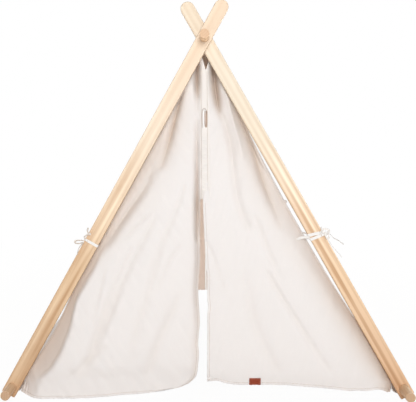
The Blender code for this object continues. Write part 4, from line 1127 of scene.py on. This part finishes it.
def makeSideWall(side, label, node):
    surface = partial(sidePanel, side)
    columns = np.linspace(0, 1, sideWall["columns"])
    u, v = np.meshgrid(columns, evenRuns(*sideWall["rows"]), indexing="xy")
    points = surface(u, v)[:, ::-side]
    piece = meshPiece(label, [points], "cotton", bodyOf(side), node)
    # painted shade: a darker, warmer tint beside the end walls and under the ridge
    depth, width = sideWall["seamShade"]
    beside = depth * np.exp(-(((tent["clothPlane"] - np.abs(points[..., 1])) / width) ** 2))
    start, blend = sideWall["underRidgeShade"]
    setPaintedShade(piece, np.maximum(beside, smoothStep((points[..., 2] - start) / blend)))
    thicken(piece)

    lift = -side * tent["clothThickness"] / 2
    run = np.linspace(*sideWall["stitchRun"])
    inset = sideWall["edgeStitches"] / (2 * tent["clothPlane"])
    lines = [(np.full_like(run, place), run) for place in (inset, 1 - inset)]
    lines += [(run, np.full_like(run, place)) for place in sideWall["rowStitches"]]
    threads = [threadLine(surface, across, down, lift) for across, down in lines]
    stitches = meshThreads(label + "Stitches", threads, "thread", bodyOf(side))


def makeBaseSleeve(side, label, node):
    reach = tent["clothPlane"] + sleeves["baseReach"]
    turns = np.linspace(-180, 180, sleeves["baseSides"] + 1)[:-1][::side]
    angle, y = np.meshgrid(turns, reach * evenRuns(*sleeves["baseRows"]), indexing="xy")
    x, z = sleevePoint(side, angle, y)
    points = np.stack([x, y, z], axis=-1)
    piece = meshPiece(label, [points], "cotton", bodyOf(side), node, around=True)
    thicken(piece)


def makeRidgeSleeve(label, node):
    # A tube round the ridge dowel, drawn in by its wrinkles. Its colour takes the full painted shade tint
    # all over.
    reach = tent["clothPlane"] + sleeves["ridgeReach"]
    turns = np.linspace(360, 0, sleeves["ridgeSides"] + 1)[:-1]
    angle, y = np.meshgrid(turns, np.linspace(-reach, reach, sleeves["ridgeRows"]), indexing="xy")
    turn = np.radians(angle)
    height, *wrinkles = sleeves["ridgeWrinkles"]
    along = sleeves["ridgeDegreeLength"] * angle
    radius = sleeves["ridgeRadius"] - height * (1 + ripple(y, along, *wrinkles))
    x = radius * np.cos(turn)
    z = tent["ridgeHeight"] + radius * np.sin(turn)
    points = np.stack([x, y, z], axis=-1)
    piece = meshPiece(label, [points], "cotton", "cover_middle", node, around=True)
    setPaintedShade(piece, np.ones(angle.shape))
    thicken(piece, sleeves["ridgeThickness"])


for side, word in ((-1, "left"), (1, "right")):
    makeSideWall(side, word + "SideWall", word + "_side_panel")
    makeBaseSleeve(side, word + "BaseSleeve", word + "_base_sleeve")
makeRidgeSleeve("ridgeSleeve", "ridge_sleeve")
print("side walls and sleeves made")


# Placket with its slot, the loop and the label

placket = {
    "flat": (0.030, 0.43),
    "left": -0.0155,
    "right": 0.0145,
    "low": 0.596,
    "topGap": 0.002,                      # under the end walls' top
    "rowCount": 380,
    "sideColumns": 22,                    # on each side of the slot
    "notchTip": (0.0035, 0.9866),
    "notchSlopes": (3.47, 3.07),          # rise over run of its left and its right side
    "proud": 0.0024,                      # its middle and its edges, over the cloth
    "edgeProud": 0.0014,
    "edgePower": 3,
    "rows": (-0.0108, 0.0072),            # stitch rows
    "groove": (0.0009, 0.0010),           # depth and half width along a stitch row
    "brownRun": (0.36, 0.995, 700),       # shares of the height, and points, of each thread
    "paleRun": (0.04, 0.995, 700),
    "shortPaleRun": (0.10, 0.36, 500),
    "slotBinding": 0.0010,                # radius of the stitching round the slot
    "bindingGap": (0.0004, 0.0010),       # its distance beyond the slot's sides and ends
    "bindingTurn": 0.15,                  # how late its ends are rounded
    "bindingPoints": 120,
    "slotMiddle": 0.0029,
    "slot": [(0.8125, 0.0), (0.8150, 0.0016), (0.829, 0.0025), (0.858, 0.0025), (0.8608, 0.0015),
             (0.8617, 0.0)],
    "ladder": (0.61, 0.81),               # heights between which the cloth puckers in steps
    "ladderFades": (0.02, 0.04, 0.003),   # at its foot, at its top and beside the stitch rows
    "ladderPitch": 0.012,
    "ladderUneven": (1.3, 41),
    "ladderDepth": 0.0007,
    # Where the depth of the cloth under it is taken: how many heights, how far below it they
    # start and below the end walls' top they stop, and the place of the middle column
    "seatPoints": 300,
    "seatMargin": 0.002,
    "seatTopGap": 0.001,
    "seatMiddle": -0.003,
}


def onCloth(wall, x, z):
    # Where on an end wall a place seen from the front lies: Newton's steps, for u by the place
    # across and for v by the height.
    u = np.full(np.shape(x), 0.5)
    v = np.full(np.shape(x), 0.5)
    small = 1e-5
    rounds = 14
    for step in range(rounds):
        here = flapSurface(wall, u, v)
        across = (flapSurface(wall, u + small, v) - here)[..., 0] / small
        down = (flapSurface(wall, u, v + small) - here)[..., 2] / small
        u = np.clip(u + (x - here[..., 0]) / across, 0, 1)
        v = np.clip(v + (z - here[..., 2]) / down, 0, 1)
    return u, v


def clothDepth(wall, x, z):
    return np.abs(flapSurface(wall, *onCloth(wall, x, z))[..., 1])


def placketSeats():
    # Depth of the cloth under the strip's two edges and its middle, at even heights.
    count = placket["seatPoints"]
    low, top = placket["low"] - placket["seatMargin"], leftFlap["top"] - placket["seatTopGap"]
    heights = np.linspace(low, top, count)
    places = {"left": (leftFlap, placket["left"]), "middle": (leftFlap, placket["seatMiddle"]),
              "right": (rightFlap, placket["right"])}
    depths = {key: clothDepth(wall, np.full(count, x), heights) for key, (wall, x) in places.items()}
    return heights, depths


seatHeights, placketSeat = placketSeats()


def placketTop(x):
    # The notch's two sides rise from its tip, up to just under the end walls' top.
    tipX, tipZ = placket["notchTip"]
    slope = np.where(x < tipX, *placket["notchSlopes"])
    return np.minimum(tipZ + slope * np.abs(x - tipX), leftFlap["top"] - placket["topGap"])


def placketSurface(x, v):
    # The strip over the closed part of the door, down from the notch's two sides. Its middle
    # stands proud of the cloth and its edges roll down to it. The stitch rows are grooves, and
    # between them a cosine of the height puckers it.
    top = placketTop(x)
    z = top + (placket["low"] - top) * v
    share = (x - placket["left"]) / (placket["right"] - placket["left"])
    rolled = np.abs(2 * share - 1) ** placket["edgePower"]
    seat = {key: np.interp(z, seatHeights, depth) for key, depth in placketSeat.items()}
    edge = np.where(share < 0.5, seat["left"], seat["right"]) + placket["edgeProud"]
    depth = (seat["middle"] + placket["proud"]) * (1 - rolled) + edge * rolled
    grooveDepth, grooveWidth = placket["groove"]
    for row in placket["rows"]:
        depth = depth - grooveDepth * np.exp(-(((x - row) / grooveWidth) ** 2))
    low, high = placket["ladder"]
    left, right = placket["rows"]
    lowFade, highFade, sideFade = placket["ladderFades"]
    window = smoothStep((z - low) / lowFade) * smoothStep((high - z) / highFade)
    between = smoothStep((x - left) / sideFade) * smoothStep((right - x) / sideFade)
    uneven, pace = placket["ladderUneven"]
    steps = np.cos(2 * math.pi * z / placket["ladderPitch"] + uneven * np.sin(pace * z))
    depth = depth + placket["ladderDepth"] * window * between * steps
    return np.stack([x, -depth, z], axis=-1)


def makePlacket():
    # The columns run along the slot's two sides, so that the slot is a row of missing quads.
    rowCount, sideColumns = placket["rowCount"], placket["sideColumns"]
    middle = placket["slotMiddle"]
    v = np.linspace(0, 1, rowCount)[:, None]
    z = placketSurface(np.full_like(v, middle), v)[..., 2]
    sides = []
    for start, sign in ((placket["left"], -1), (placket["right"], 1)):
        edge = middle + sign * smoothTable(z, placket["slot"])
        sides.append(start + (edge - start) * np.linspace(0, 1, sideColumns)[None, :])
    x = np.concatenate([sides[0], sides[1][:, ::-1]], axis=1)
    hole = np.zeros((rowCount - 1, x.shape[1] - 1), bool)
    hole[:, sideColumns - 1] = True
    points = placketSurface(x, np.broadcast_to(v, x.shape))
    piece = meshPiece("frontPlacket", [points], "placket", "cover_middle", "front_placket",
                      hole=hole)
    thicken(piece)
    makeSlotStitching()

    left, right = placket["rows"]
    brownRows = [(left, placket["brownRun"])]
    paleRows = [(right, placket["paleRun"]), (left, placket["shortPaleRun"])]
    lift = -tent["clothThickness"] / 2
    for word, lines, thread in (("brown", brownRows, "brownThread"), ("pale", paleRows, "tanThread")):
        runs = [(x, np.linspace(*run)) for x, run in lines]
        threads = [threadLine(placketSurface, np.full_like(run, x), run, lift) for x, run in runs]
        meshThreads("placketStitches_" + word, threads, thread, "cover_middle")


def makeSlotStitching():
    # A round cord of stitches: half a cosine runs from end to end of the slot, just outside it.
    turn = np.linspace(0, 2 * math.pi, placket["bindingPoints"])
    low, top = placket["slot"][0][0], placket["slot"][-1][0]
    sideGap, endGap = placket["bindingGap"]
    z = (top + low) / 2 + ((top - low) / 2 + endGap) * np.cos(turn)
    width = smoothTable(np.clip(z, low, top), placket["slot"]) + sideGap
    rounded = np.minimum(1, np.abs(np.sin(turn)) / placket["bindingTurn"])
    x = placket["slotMiddle"] + np.sign(np.sin(turn)) * width * rounded
    v = (z - placketTop(x)) / (placket["low"] - placketTop(x))
    path = placketSurface(x, v) - (0, sideGap, 0)
    facing = np.broadcast_to((0.0, -1.0, 0.0), path.shape)
    meshThreads("slotStitching", [roundTube(path, facing, placket["slotBinding"])], "brownThread",
                "cover_middle")


def curveThrough(points, steps=10):
    # Catmull and Rom's curve: it passes through each point in turn.
    points = np.array(points, float)
    ends = np.concatenate([[2 * points[0] - points[1]], points, [2 * points[-1] - points[-2]]])
    t = np.linspace(0, 1, steps, endpoint=False)[None, :, None]
    a, b, c, d = (ends[k: len(ends) - 3 + k][:, None] for k in range(4))
    square = (2 * a - 5 * b + 4 * c - d) * t**2
    curve = 0.5 * (2 * b + (c - a) * t + square + (3 * b - a - 3 * c + d) * t**3)
    return np.concatenate([curve.reshape(-1, points.shape[1]), points[-1:]])


tapeLook = {
    "thickness": 0.0009,
    "sides": 12,
    "squareness": (0.4, 0.9),     # powers of the cosine across and the sine through: 1 is round
}


def tapeGrid(path, facing, width):
    # A flat tape round a path: across it lies the width, towards facing its thin way, and its
    # outline is a rounded oblong. The width may change along it.
    tangent = np.gradient(path, axis=0)
    tangent /= np.linalg.norm(tangent, axis=-1, keepdims=True)
    across = np.cross(facing, tangent)
    across /= np.linalg.norm(across, axis=-1, keepdims=True)
    upward = np.cross(tangent, across)
    sides = tapeLook["sides"]
    angle = (np.linspace(0, 2 * math.pi, sides + 1)[:-1] + math.pi / sides)[:, None]
    widePower, thinPower = tapeLook["squareness"]
    wide = np.sign(np.cos(angle)) * np.abs(np.cos(angle)) ** widePower
    thin = np.sign(np.sin(angle)) * np.abs(np.sin(angle)) ** thinPower * tapeLook["thickness"] / 2
    half = np.broadcast_to(np.asarray(width) / 2, len(path))[:, None, None]
    return path[:, None] + across[:, None] * half * wide + upward[:, None] * thin


loop = {
    # Place across, height, and distance in front of the placket
    "points": [(-0.0052, 0.8110, 0.0004), (-0.0053, 0.8150, 0.0010), (-0.0054, 0.8350, 0.0011),
               (-0.0053, 0.8560, 0.0012), (-0.0042, 0.8635, 0.0015), (-0.0010, 0.8668, 0.0022),
               (0.0022, 0.8645, 0.0022), (0.0030, 0.8600, 0.0008), (0.0030, 0.8540, -0.0040)],
    "facing": [(0, -1, 0), (0, -1, 0), (0, -1, 0), (0, -1, 0.1), (-0.3, -1, 0.5), (0, -0.8, 0.9),
               (0.6, -0.7, 0.6), (0.8, -0.6, 0.2), (0.8, -0.5, 0.2)],
    "width": [(0, 0.0056), (0.55, 0.0054), (0.72, 0.0034), (1, 0.0030)],    # by share of the way
    "bound": 0.00075,         # radius of the brown stitching round its edge
    "boundTo": 0.86,          # share of the way that the stitching runs
}


def makeLoop():
    points = np.array(loop["points"])
    front = np.interp(points[:, 1], seatHeights, placketSeat["middle"]) + placket["proud"]
    path = curveThrough(np.stack([points[:, 0], -front - points[:, 2], points[:, 1]], axis=-1))
    facing = curveThrough(loop["facing"])
    width = smoothTable(np.linspace(0, 1, len(path)), loop["width"])
    tape = tapeGrid(path, facing, width)
    meshPiece("placketLoop", [tape], "tape", "cover_middle", "placket_loop",
              around=True, caps=True)
    rows = int(loop["boundTo"] * len(path))
    edges = [tape[:rows, column] for column in (0, tapeLook["sides"] // 2)]
    outer = min(edges, key=lambda edge: edge[0, 0])
    meshThreads("placketLoopStitching", [roundTube(outer, facing[:rows], loop["bound"])],
                "brownThread", "cover_middle")


hemPatch = {
    "left": 0.1290,
    "right": 0.1630,
    "height": 0.0215,
    "proud": 0.0013,
    "swell": 0.0006,
    "thickness": 0.0006,
    "border": 0.07,           # stitches, as a share of its width
    "heightBorder": 0.112,    # and of its height
    "columns": 36,
    "rows": 24,
    "stitchPoints": 160,
}


def patchSurface(across, down):
    # The patch on the right flap, down to the hem's edge. It lies a little in front of the
    # cloth, most in the middle.
    x = hemPatch["left"] + (hemPatch["right"] - hemPatch["left"]) * across
    u, v = onCloth(rightFlap, x, np.full(np.shape(x), -1.0))
    hemEdge = flapSurface(rightFlap, u, v)[..., 2]
    z = hemEdge + hemPatch["height"] * (1 - down)
    point = flapSurface(rightFlap, *onCloth(rightFlap, x, z))
    middle = np.sin(math.pi * np.clip(across, 0, 1)) * np.sin(math.pi * np.clip(down, 0, 1))
    proud = hemPatch["proud"] + hemPatch["swell"] * middle
    return point - np.stack([0 * x, proud, 0 * x], axis=-1)


def makePatch():
    columns, rows = (np.linspace(0, 1, hemPatch[key]) for key in ("columns", "rows"))
    across, down = np.meshgrid(columns, rows, indexing="xy")
    grids = [patchSurface(across, down)]
    piece = meshPiece("hemLabel", grids, "label", "right_frame", "hem_label")
    thicken(piece, hemPatch["thickness"])
    side, end = hemPatch["border"], hemPatch["heightBorder"]
    run = np.linspace(side, 1 - side, hemPatch["stitchPoints"])
    lines = [(run, np.full_like(run, place)) for place in (end, 1 - end)]
    lines += [(np.full_like(run, place), run) for place in (side, 1 - side)]
    lift = -hemPatch["thickness"] / 2
    threads = [threadLine(patchSurface, across, down, lift) for across, down in lines]
    stitches = meshThreads("hemLabelStitches", threads, "labelThread", "right_frame")
    foldAway(piece)
    foldAway(stitches)


makePlacket()
makeLoop()
makePatch()
print("placket, loop and label made")


# Ties

# Each slat's middle, from the tent's, by side and end
slatLayers = {(-1, -1): 0.515, (1, -1): 0.4945, (-1, 1): 0.4945, (1, 1): 0.515}

tieLook = {
    "cornerRadius": 0.0022,            # of a band round the slat, and its points
    "cornerPoints": 7,
    "bandSteps": 4,                    # of the curve from point to point of a band
    "bandStart": (0.012, 0.0),         # on the front face: place across, and how far in front
    "bandStop": (0.013, 0.0002),
    "bandCrease": (0.06, 9),           # how much a band's width wavers, and over what angle
    "knotSize": (0.0050, 0.0046, 0.0038),
    "knotTurns": (0.10, 3, 2.0),       # their height, how many, and their slant
    "knotGrid": (24, 15, 0.12),        # columns, rows and the angle left open at its two poles
    "strapStart": [(-0.0222, 0.008, -0.006), (-0.0240, 0.004, -0.012)],
    "strapSag": 0.002,
    "strapSink": 0.001,                # of its end into the seam
    "strapFacing": (1.0, 0.0, 0.25),
    "strapWidth": 0.0076,
}

# A band has its heights at the slat's inner and outer edge, its width and how far it lies over
# the wood. Each strand has points across the slat and outwards, down it from the ridge, and in
# front of its face, the way that its flat side faces, and its width. The strap runs to the seam.
backTie = {
    "bands": [(0.7015, 0.7015, 0.0078, 0.0010)],
    "knot": (0.0170, 0.6800, 0.0035),
    "strands": [
        ([(0.0190, 0.7000, 0.0016), (0.0262, 0.6968, 0.0024), (0.0235, 0.6890, 0.0040),
          (0.0188, 0.6801, 0.0048)],
         (0.5, 0.3, 0.6), 0.0052),
        ([(0.0175, 0.6790, 0.0050), (0.0249, 0.6766, 0.0062), (0.0278, 0.6708, 0.0060),
          (0.0287, 0.6652, 0.0050)],
         (0.4, 0.2, 0.8), 0.0060),
        ([(0.0190, 0.7030, 0.0020), (0.0240, 0.7062, 0.0046), (0.0350, 0.7108, 0.0085),
          (0.0422, 0.7160, 0.0100), (0.0428, 0.7212, 0.0080), (0.0385, 0.7238, 0.0050),
          (0.0301, 0.7202, 0.0022), (0.0221, 0.7128, 0.0008)],
         (-0.3, 0.6, 0.7), 0.0062),
        ([(0.0200, 0.7100, 0.0018), (0.0224, 0.7200, 0.0034), (0.0242, 0.7296, 0.0040),
          (0.0228, 0.7411, 0.0036), (0.0195, 0.7530, 0.0026)], (0.8, 0.1, 0.45), 0.0058),
    ],
    "strap": (-0.016, 0.6925),
    "hollow": 0.75,           # how deep the bow's painted shade is, 0 to 1
}
ties = {
    ("leftFrontTie", -1, -1): backTie,
    ("rightFrontTie", 1, -1): {
        "bands": [(0.6670, 0.6795, 0.0088, 0.0010), (0.6810, 0.6865, 0.0082, 0.0021)],
        "knot": (0.0262, 0.6855, 0.0036),
        "strands": [
            ([(0.0250, 0.6840, 0.0040), (0.0195, 0.6765, 0.0060), (0.0232, 0.6705, 0.0078),
              (0.0315, 0.6735, 0.0088), (0.0385, 0.6828, 0.0075),
              (0.0325, 0.6872, 0.0045)], (-0.4, -0.4, 0.8), 0.0066),
            ([(0.0275, 0.6860, 0.0040), (0.0300, 0.6926, 0.0060), (0.0278, 0.7000, 0.0070),
              (0.0232, 0.7010, 0.0062), (0.0220, 0.6950, 0.0050),
              (0.0245, 0.6875, 0.0040)], (0.5, -0.3, 0.7), 0.0060),
            ([(0.0290, 0.6870, 0.0040), (0.0353, 0.6934, 0.0062), (0.0396, 0.7084, 0.0080),
              (0.0487, 0.7233, 0.0060), (0.0568, 0.7405, 0.0030)], (0.9, 0.1, 0.35), 0.0050),
            ([(0.0240, 0.6890, 0.0030), (0.0236, 0.7079, 0.0034), (0.0252, 0.7340, 0.0020),
              (0.0292, 0.7518, 0.0010), (0.0338, 0.7720, -0.0010)], (0.9, 0.0, 0.3), 0.0046),
            ([(0.0230, 0.6830, 0.0040), (0.0205, 0.6730, 0.0050),
              (0.0238, 0.6612, 0.0052)], (0.5, 0.0, 0.8), 0.0050),
            ([(-0.0205, 0.6745, 0.0016), (-0.0240, 0.6728, -0.0012), (-0.0340, 0.6668, -0.0036),
              (-0.0465, 0.6629, -0.0032), (-0.0612, 0.6612, -0.0018), (-0.0752, 0.6556, -0.0014)],
             (0.0, 0.1, 1.0), [(0, 0.0084), (0.5, 0.0078), (0.8, 0.0072), (1, 0.0012)]),
            ([(-0.0205, 0.6800, 0.0014), (-0.0245, 0.6770, -0.0020), (-0.0330, 0.6706, -0.0056),
              (-0.0420, 0.6672, -0.0050), (-0.0520, 0.6655, -0.0036)],
             (0.0, 0.4, 1.0), [(0, 0.0060), (0.7, 0.0050), (1, 0.0010)]),
        ],
        "strap": (-0.034, 0.6560),
        # the right bow's painted shade
        "hollow": 0.2,
    },
    ("leftBackTie", -1, 1): backTie,
    ("rightBackTie", 1, 1): backTie,
}


def slatDirections(side, end, vectors):
    # A way in slat coordinates, across and outwards, down from the ridge and to the front, as one
    # in the tent's.
    across, down, front = np.moveaxis(np.asarray(vectors, float), -1, 0)
    return np.stack([side * (down * leanSin + across * leanCos), end * front,
                     across * leanSin - down * leanCos], axis=-1)


def fromSlat(side, end, points):
    origin = (0.0, end * (slatLayers[side, end] + tent["slatHalfDepth"]), tent["ridgeHeight"])
    return slatDirections(side, end, points) + origin


def bandPath(inner, outer, lift):
    # Round the slat: an oblong whose corners are quarter circles, from the front face near its
    # outer edge over the inner edge and the back. It climbs evenly from inner to outer.
    halfWidth, halfDepth = tent["slatHalfWidth"] + lift, tent["slatHalfDepth"] + lift
    radius = tieLook["cornerRadius"] + lift
    quarter = np.linspace(0, math.pi / 2, tieLook["cornerPoints"])
    (start, startFront), (stop, stopFront) = tieLook["bandStart"], tieLook["bandStop"]
    points = [[(start, halfDepth + startFront)]]
    facing = [[(0.0, 1.0)]]
    for corner, (signX, signY) in enumerate(((-1, 1), (-1, -1), (1, -1), (1, 1)), 1):
        angle = corner * math.pi / 2 + quarter
        normal = np.stack([np.cos(angle), np.sin(angle)], axis=-1)
        middle = (signX * (halfWidth - radius), signY * (halfDepth - radius))
        points.append(middle + radius * normal)
        facing.append(normal)
    points.append([(stop, halfDepth + stopFront)])
    facing.append([(0.0, 1.0)])
    across, front = np.concatenate(points).T
    out, forward = np.concatenate(facing).T
    down = inner + (outer - inner) * (across / tent["slatHalfWidth"] + 1) / 2
    return (np.stack([across, down, front - tent["slatHalfDepth"]], axis=-1),
            np.stack([out, 0 * out, forward], axis=-1))


def knotGrid(centre):
    # A small lump of pulled tape: an egg shape with three shallow turns round it.
    columns, rows, pole = tieLook["knotGrid"]
    turns = np.linspace(0, 2 * math.pi, columns + 1)[:-1]
    turn, tilt = np.meshgrid(turns, np.linspace(pole, math.pi - pole, rows), indexing="xy")
    height, count, slant = tieLook["knotTurns"]
    swell = (1 + height * np.cos(count * turn + slant * tilt)) * np.sin(tilt)
    shape = np.stack([swell * np.cos(turn), np.cos(tilt), swell * np.sin(turn)], axis=-1)
    return centre + shape * tieLook["knotSize"]


def makeTie(label, side, end, tie):
    # Bands round the slat, the knot, the bow's strands and the strap to the cover's seam.
    bands, strands = [], []
    amount, angle = tieLook["bandCrease"]
    for inner, outer, width, lift in tie["bands"]:
        points, facing = (curveThrough(rows, tieLook["bandSteps"])
                          for rows in bandPath(inner, outer, lift))
        width = width * (1 + amount * np.cos(np.linspace(0, angle, len(points))))
        bands.append(tapeGrid(fromSlat(side, end, points), slatDirections(side, end, facing), width))
    across, down = tie["strap"]
    seam = tent["clothPlane"] - slatLayers[side, end] - tent["slatHalfDepth"]
    points = [(x, down + below, front) for x, below, front in tieLook["strapStart"]]
    points.append(((across + points[-1][0]) / 2, down + tieLook["strapSag"], (seam + points[-1][2]) / 2))
    points.append((across, down, seam + tieLook["strapSink"]))
    for points, facing, width in tie["strands"] + [(points, tieLook["strapFacing"], tieLook["strapWidth"])]:
        path = fromSlat(side, end, curveThrough(points))
        if isinstance(width, list):
            width = smoothTable(np.linspace(0, 1, len(path)), width)
        facing = np.broadcast_to(slatDirections(side, end, facing), path.shape)
        strands.append(tapeGrid(path, facing, width))
    bow = [fromSlat(side, end, knotGrid(tie["knot"]))] + strands
    piece = meshPiece(label, bands + bow, "tape", bodyOf(side),
                      nodeAt(side, end, "tie"), around=True, caps=True)
    plainPoints, bowPoints = (sum(len(grid) * len(grid[0]) for grid in grids) for grids in (bands, bow))
    # painted shade on the knot and strands, none on the bands
    setPaintedShade(piece, np.repeat([0.0, tie["hollow"]], [plainPoints, bowPoints]))


for (name, side, end), tie in ties.items():
    makeTie(name, side, end, tie)
print("ties made:", len(ties))


# Slats and dowels

for side, material in ((-1, "leftPine"), (1, "rightPine")):
    for end in (-1, 1):
        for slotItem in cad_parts[nodeAt(side, end, "pole")].material_slots:
            slotItem.material = finish[material]

dowelCut = {
    "rounding": 0.0015,       # of the ends' edges
    "roundPoints": 5,
    "hubShare": 0.55,         # radius of a ring of points on the flat end
    "endShare": 0.06,         # of v, that an end takes
    "rows": 40,
    "sides": 48,
    "sharpAngle": 60,
}


def endProfile():
    # One end as shares of v, radii and distances from the end: flat, then a quarter circle.
    radius, rounding = tent["dowelRadius"], dowelCut["rounding"]
    turn = np.linspace(0, math.pi / 2, dowelCut["roundPoints"])
    ring = np.concatenate([[0.0, radius * dowelCut["hubShare"]], radius - rounding * (1 - np.sin(turn))])
    offset = np.concatenate([[0.0, 0.0], rounding * (1 - np.cos(turn))])
    return np.linspace(0, dowelCut["endShare"], len(ring)), ring, offset


def dowelSurface(place, u, v):
    # A turned rod along Y. u goes round it, v from the middle of its front end to the middle of
    # its back end. Between the ends v is even along its straight part.
    front, back = place["ends"]
    share, ring, offset = endProfile()
    fromEnd = np.minimum(v, 1 - v)
    radius = np.interp(fromEnd, share, ring)
    inset = np.interp(fromEnd, share, offset)
    straight = (v - share[-1]) / (1 - 2 * share[-1])
    between = front + offset[-1] + (back - front - 2 * offset[-1]) * straight
    y = np.where(v < 0.5, front + inset, back - inset)
    y = np.where(fromEnd < share[-1], y, between)
    angle = 2 * math.pi * u
    return np.stack([place["x"] + radius * np.cos(angle), y, place["z"] + radius * np.sin(angle)], axis=-1)


def makeDowel(label, node, body, x, z, material):
    low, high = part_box(node)
    share = endProfile()[0]
    straight = np.linspace(share[-1], 1 - share[-1], dowelCut["rows"])[1:-1]
    rows = np.concatenate([share[1:], straight, 1 - share[:0:-1]])
    columns = np.linspace(0, 1, dowelCut["sides"] + 1)[:-1]
    u, v = np.meshgrid(columns, rows, indexing="xy")
    points = dowelSurface({"x": x, "z": z, "ends": (low[1], high[1])}, u, v)
    meshPiece(label, [points], material, body, node, around=True, caps=True,
              sharp=dowelCut["sharpAngle"])


for side, word in ((-1, "left"), (1, "right")):
    makeDowel(word + "BaseDowel", word + "_base_dowel", bodyOf(side),
              side * dowelCentre[0], dowelCentre[1], "baseDowel")
makeDowel("ridgeDowel", "ridge_dowel", "cover_middle", 0, tent["ridgeHeight"], "ridgeDowel")
print("wood dressed")


# Floor, background and lights

stageLook = {
    # Soft boxes, each turned to the tent's middle: watts, width, place and colour
    "lights": {
        "key": (103, 1.5, (0.3, -3.8, 1.65), (0.93, 0.975, 1.0)),
        "left": (42, 2.0, (-3.2, 1.6, 0.9), (1.0, 0.98, 0.96)),
        "right": (42, 2.0, (3.2, 1.6, 0.9), (1.0, 0.98, 0.96)),
        "back": (112, 3.0, (0.4, 3.8, 1.3), (1.0, 0.97, 0.94)),
    },
    "target": (0, 0, 0.5),
    "skyStrength": 0.24,
    "skyColour": (1.0, 0.87, 0.78),
    "floorReach": 9,
    "floorTone": 0.72,
    "floorGlow": 0.96,           # share of white that the camera sees near the tent
    "glowFrom": (0.9, 2.4),      # distances from the tent's middle over which it rises to white
    "underGlowStrength": 0.26,      # painted light: the floor's own glow, no lamp, lights the tent from below, less under the tent
    "underGlowColour": (1.0, 0.95, 0.90),
    "underGlowFrom": (0.1, 0.9),
}


def seenDirectly(make):
    # 1 for rays from the camera and those that polished or clear things send on.
    rays = make.node("ShaderNodeLightPath").outputs
    seen = make.math("MAXIMUM", rays["Is Camera Ray"], rays["Is Glossy Ray"])
    return make.math("MAXIMUM", seen, rays["Is Transmission Ray"])


def makeFloor(look):
    # Plain and pale: a diffuse floor that also glows, no lamp, to light the tent from below, seen as near
    # white.
    reach = look["floorReach"]
    corners = [(-reach, -reach, 0), (reach, -reach, 0), (reach, reach, 0), (-reach, reach, 0)]
    mesh = bpy.data.meshes.new("studioFloor")
    mesh.from_pydata(corners, [], [(0, 1, 2, 3)])
    floor = bpy.data.objects.new("studioFloor", mesh)
    bpy.context.scene.collection.objects.link(floor)
    material = bpy.data.materials.new("studioFloor")
    material.use_nodes = True
    material.node_tree.nodes.clear()
    make = nodeMaker(material.node_tree)
    distance = make.vector("LENGTH", make.node("ShaderNodeTexCoord").outputs["Object"])
    fade = make.span(distance, look["floorGlow"], 1.0, *look["glowFrom"], "SMOOTHSTEP")
    share = make.math("MULTIPLY", seenDirectly(make), fade)
    diffuse = make.node("ShaderNodeBsdfDiffuse", {"Color": (*(look["floorTone"],) * 3, 1)})
    # painted light: the floor glows for rays other than the camera's, rising away from the tent
    strength = make.span(distance, 0.0, look["underGlowStrength"], *look["underGlowFrom"], "SMOOTHSTEP")
    inputs = {"Color": (*look["underGlowColour"], 1), "Strength": strength}
    underGlow = make.node("ShaderNodeEmission", inputs)
    lit = make.node("ShaderNodeAddShader", {0: diffuse.outputs[0], 1: underGlow.outputs[0]})
    glow = make.node("ShaderNodeEmission", {"Color": (1, 1, 1, 1), "Strength": 1.0})
    mixed = make.node("ShaderNodeMixShader", {0: share, 1: lit.outputs[0], 2: glow.outputs[0]})
    make.node("ShaderNodeOutputMaterial", {"Surface": mixed.outputs[0]})
    mesh.materials.append(material)


def makeSky(look):
    # White where it is seen, and a dimmer warm tone where it lights the tent.
    world = bpy.data.worlds.new("studio")
    world.use_nodes = True
    make = nodeMaker(world.node_tree)
    seen = seenDirectly(make)
    make.feed(world.node_tree.nodes["Background"], {
        "Color": make.mix(seen, look["skyColour"], (1.0, 1.0, 1.0)),
        "Strength": make.span(seen, look["skyStrength"], 1.0),
    })
    bpy.context.scene.world = world


def makeLights(look):
    for name, (power, size, place, colour) in look["lights"].items():
        data = bpy.data.lights.new(name + "Light", "AREA")
        data.energy = power
        data.color = colour
        data.size = size
        lamp = bpy.data.objects.new(name + "Light", data)
        lamp.location = place
        way = Vector(look["target"]) - Vector(place)
        lamp.rotation_euler = way.to_track_quat("-Z", "Y").to_euler()
        bpy.context.scene.collection.objects.link(lamp)


makeFloor(stageLook)
makeSky(stageLook)
makeLights(stageLook)
bpy.context.scene.view_settings.view_transform = "Standard"
print("stage lit")
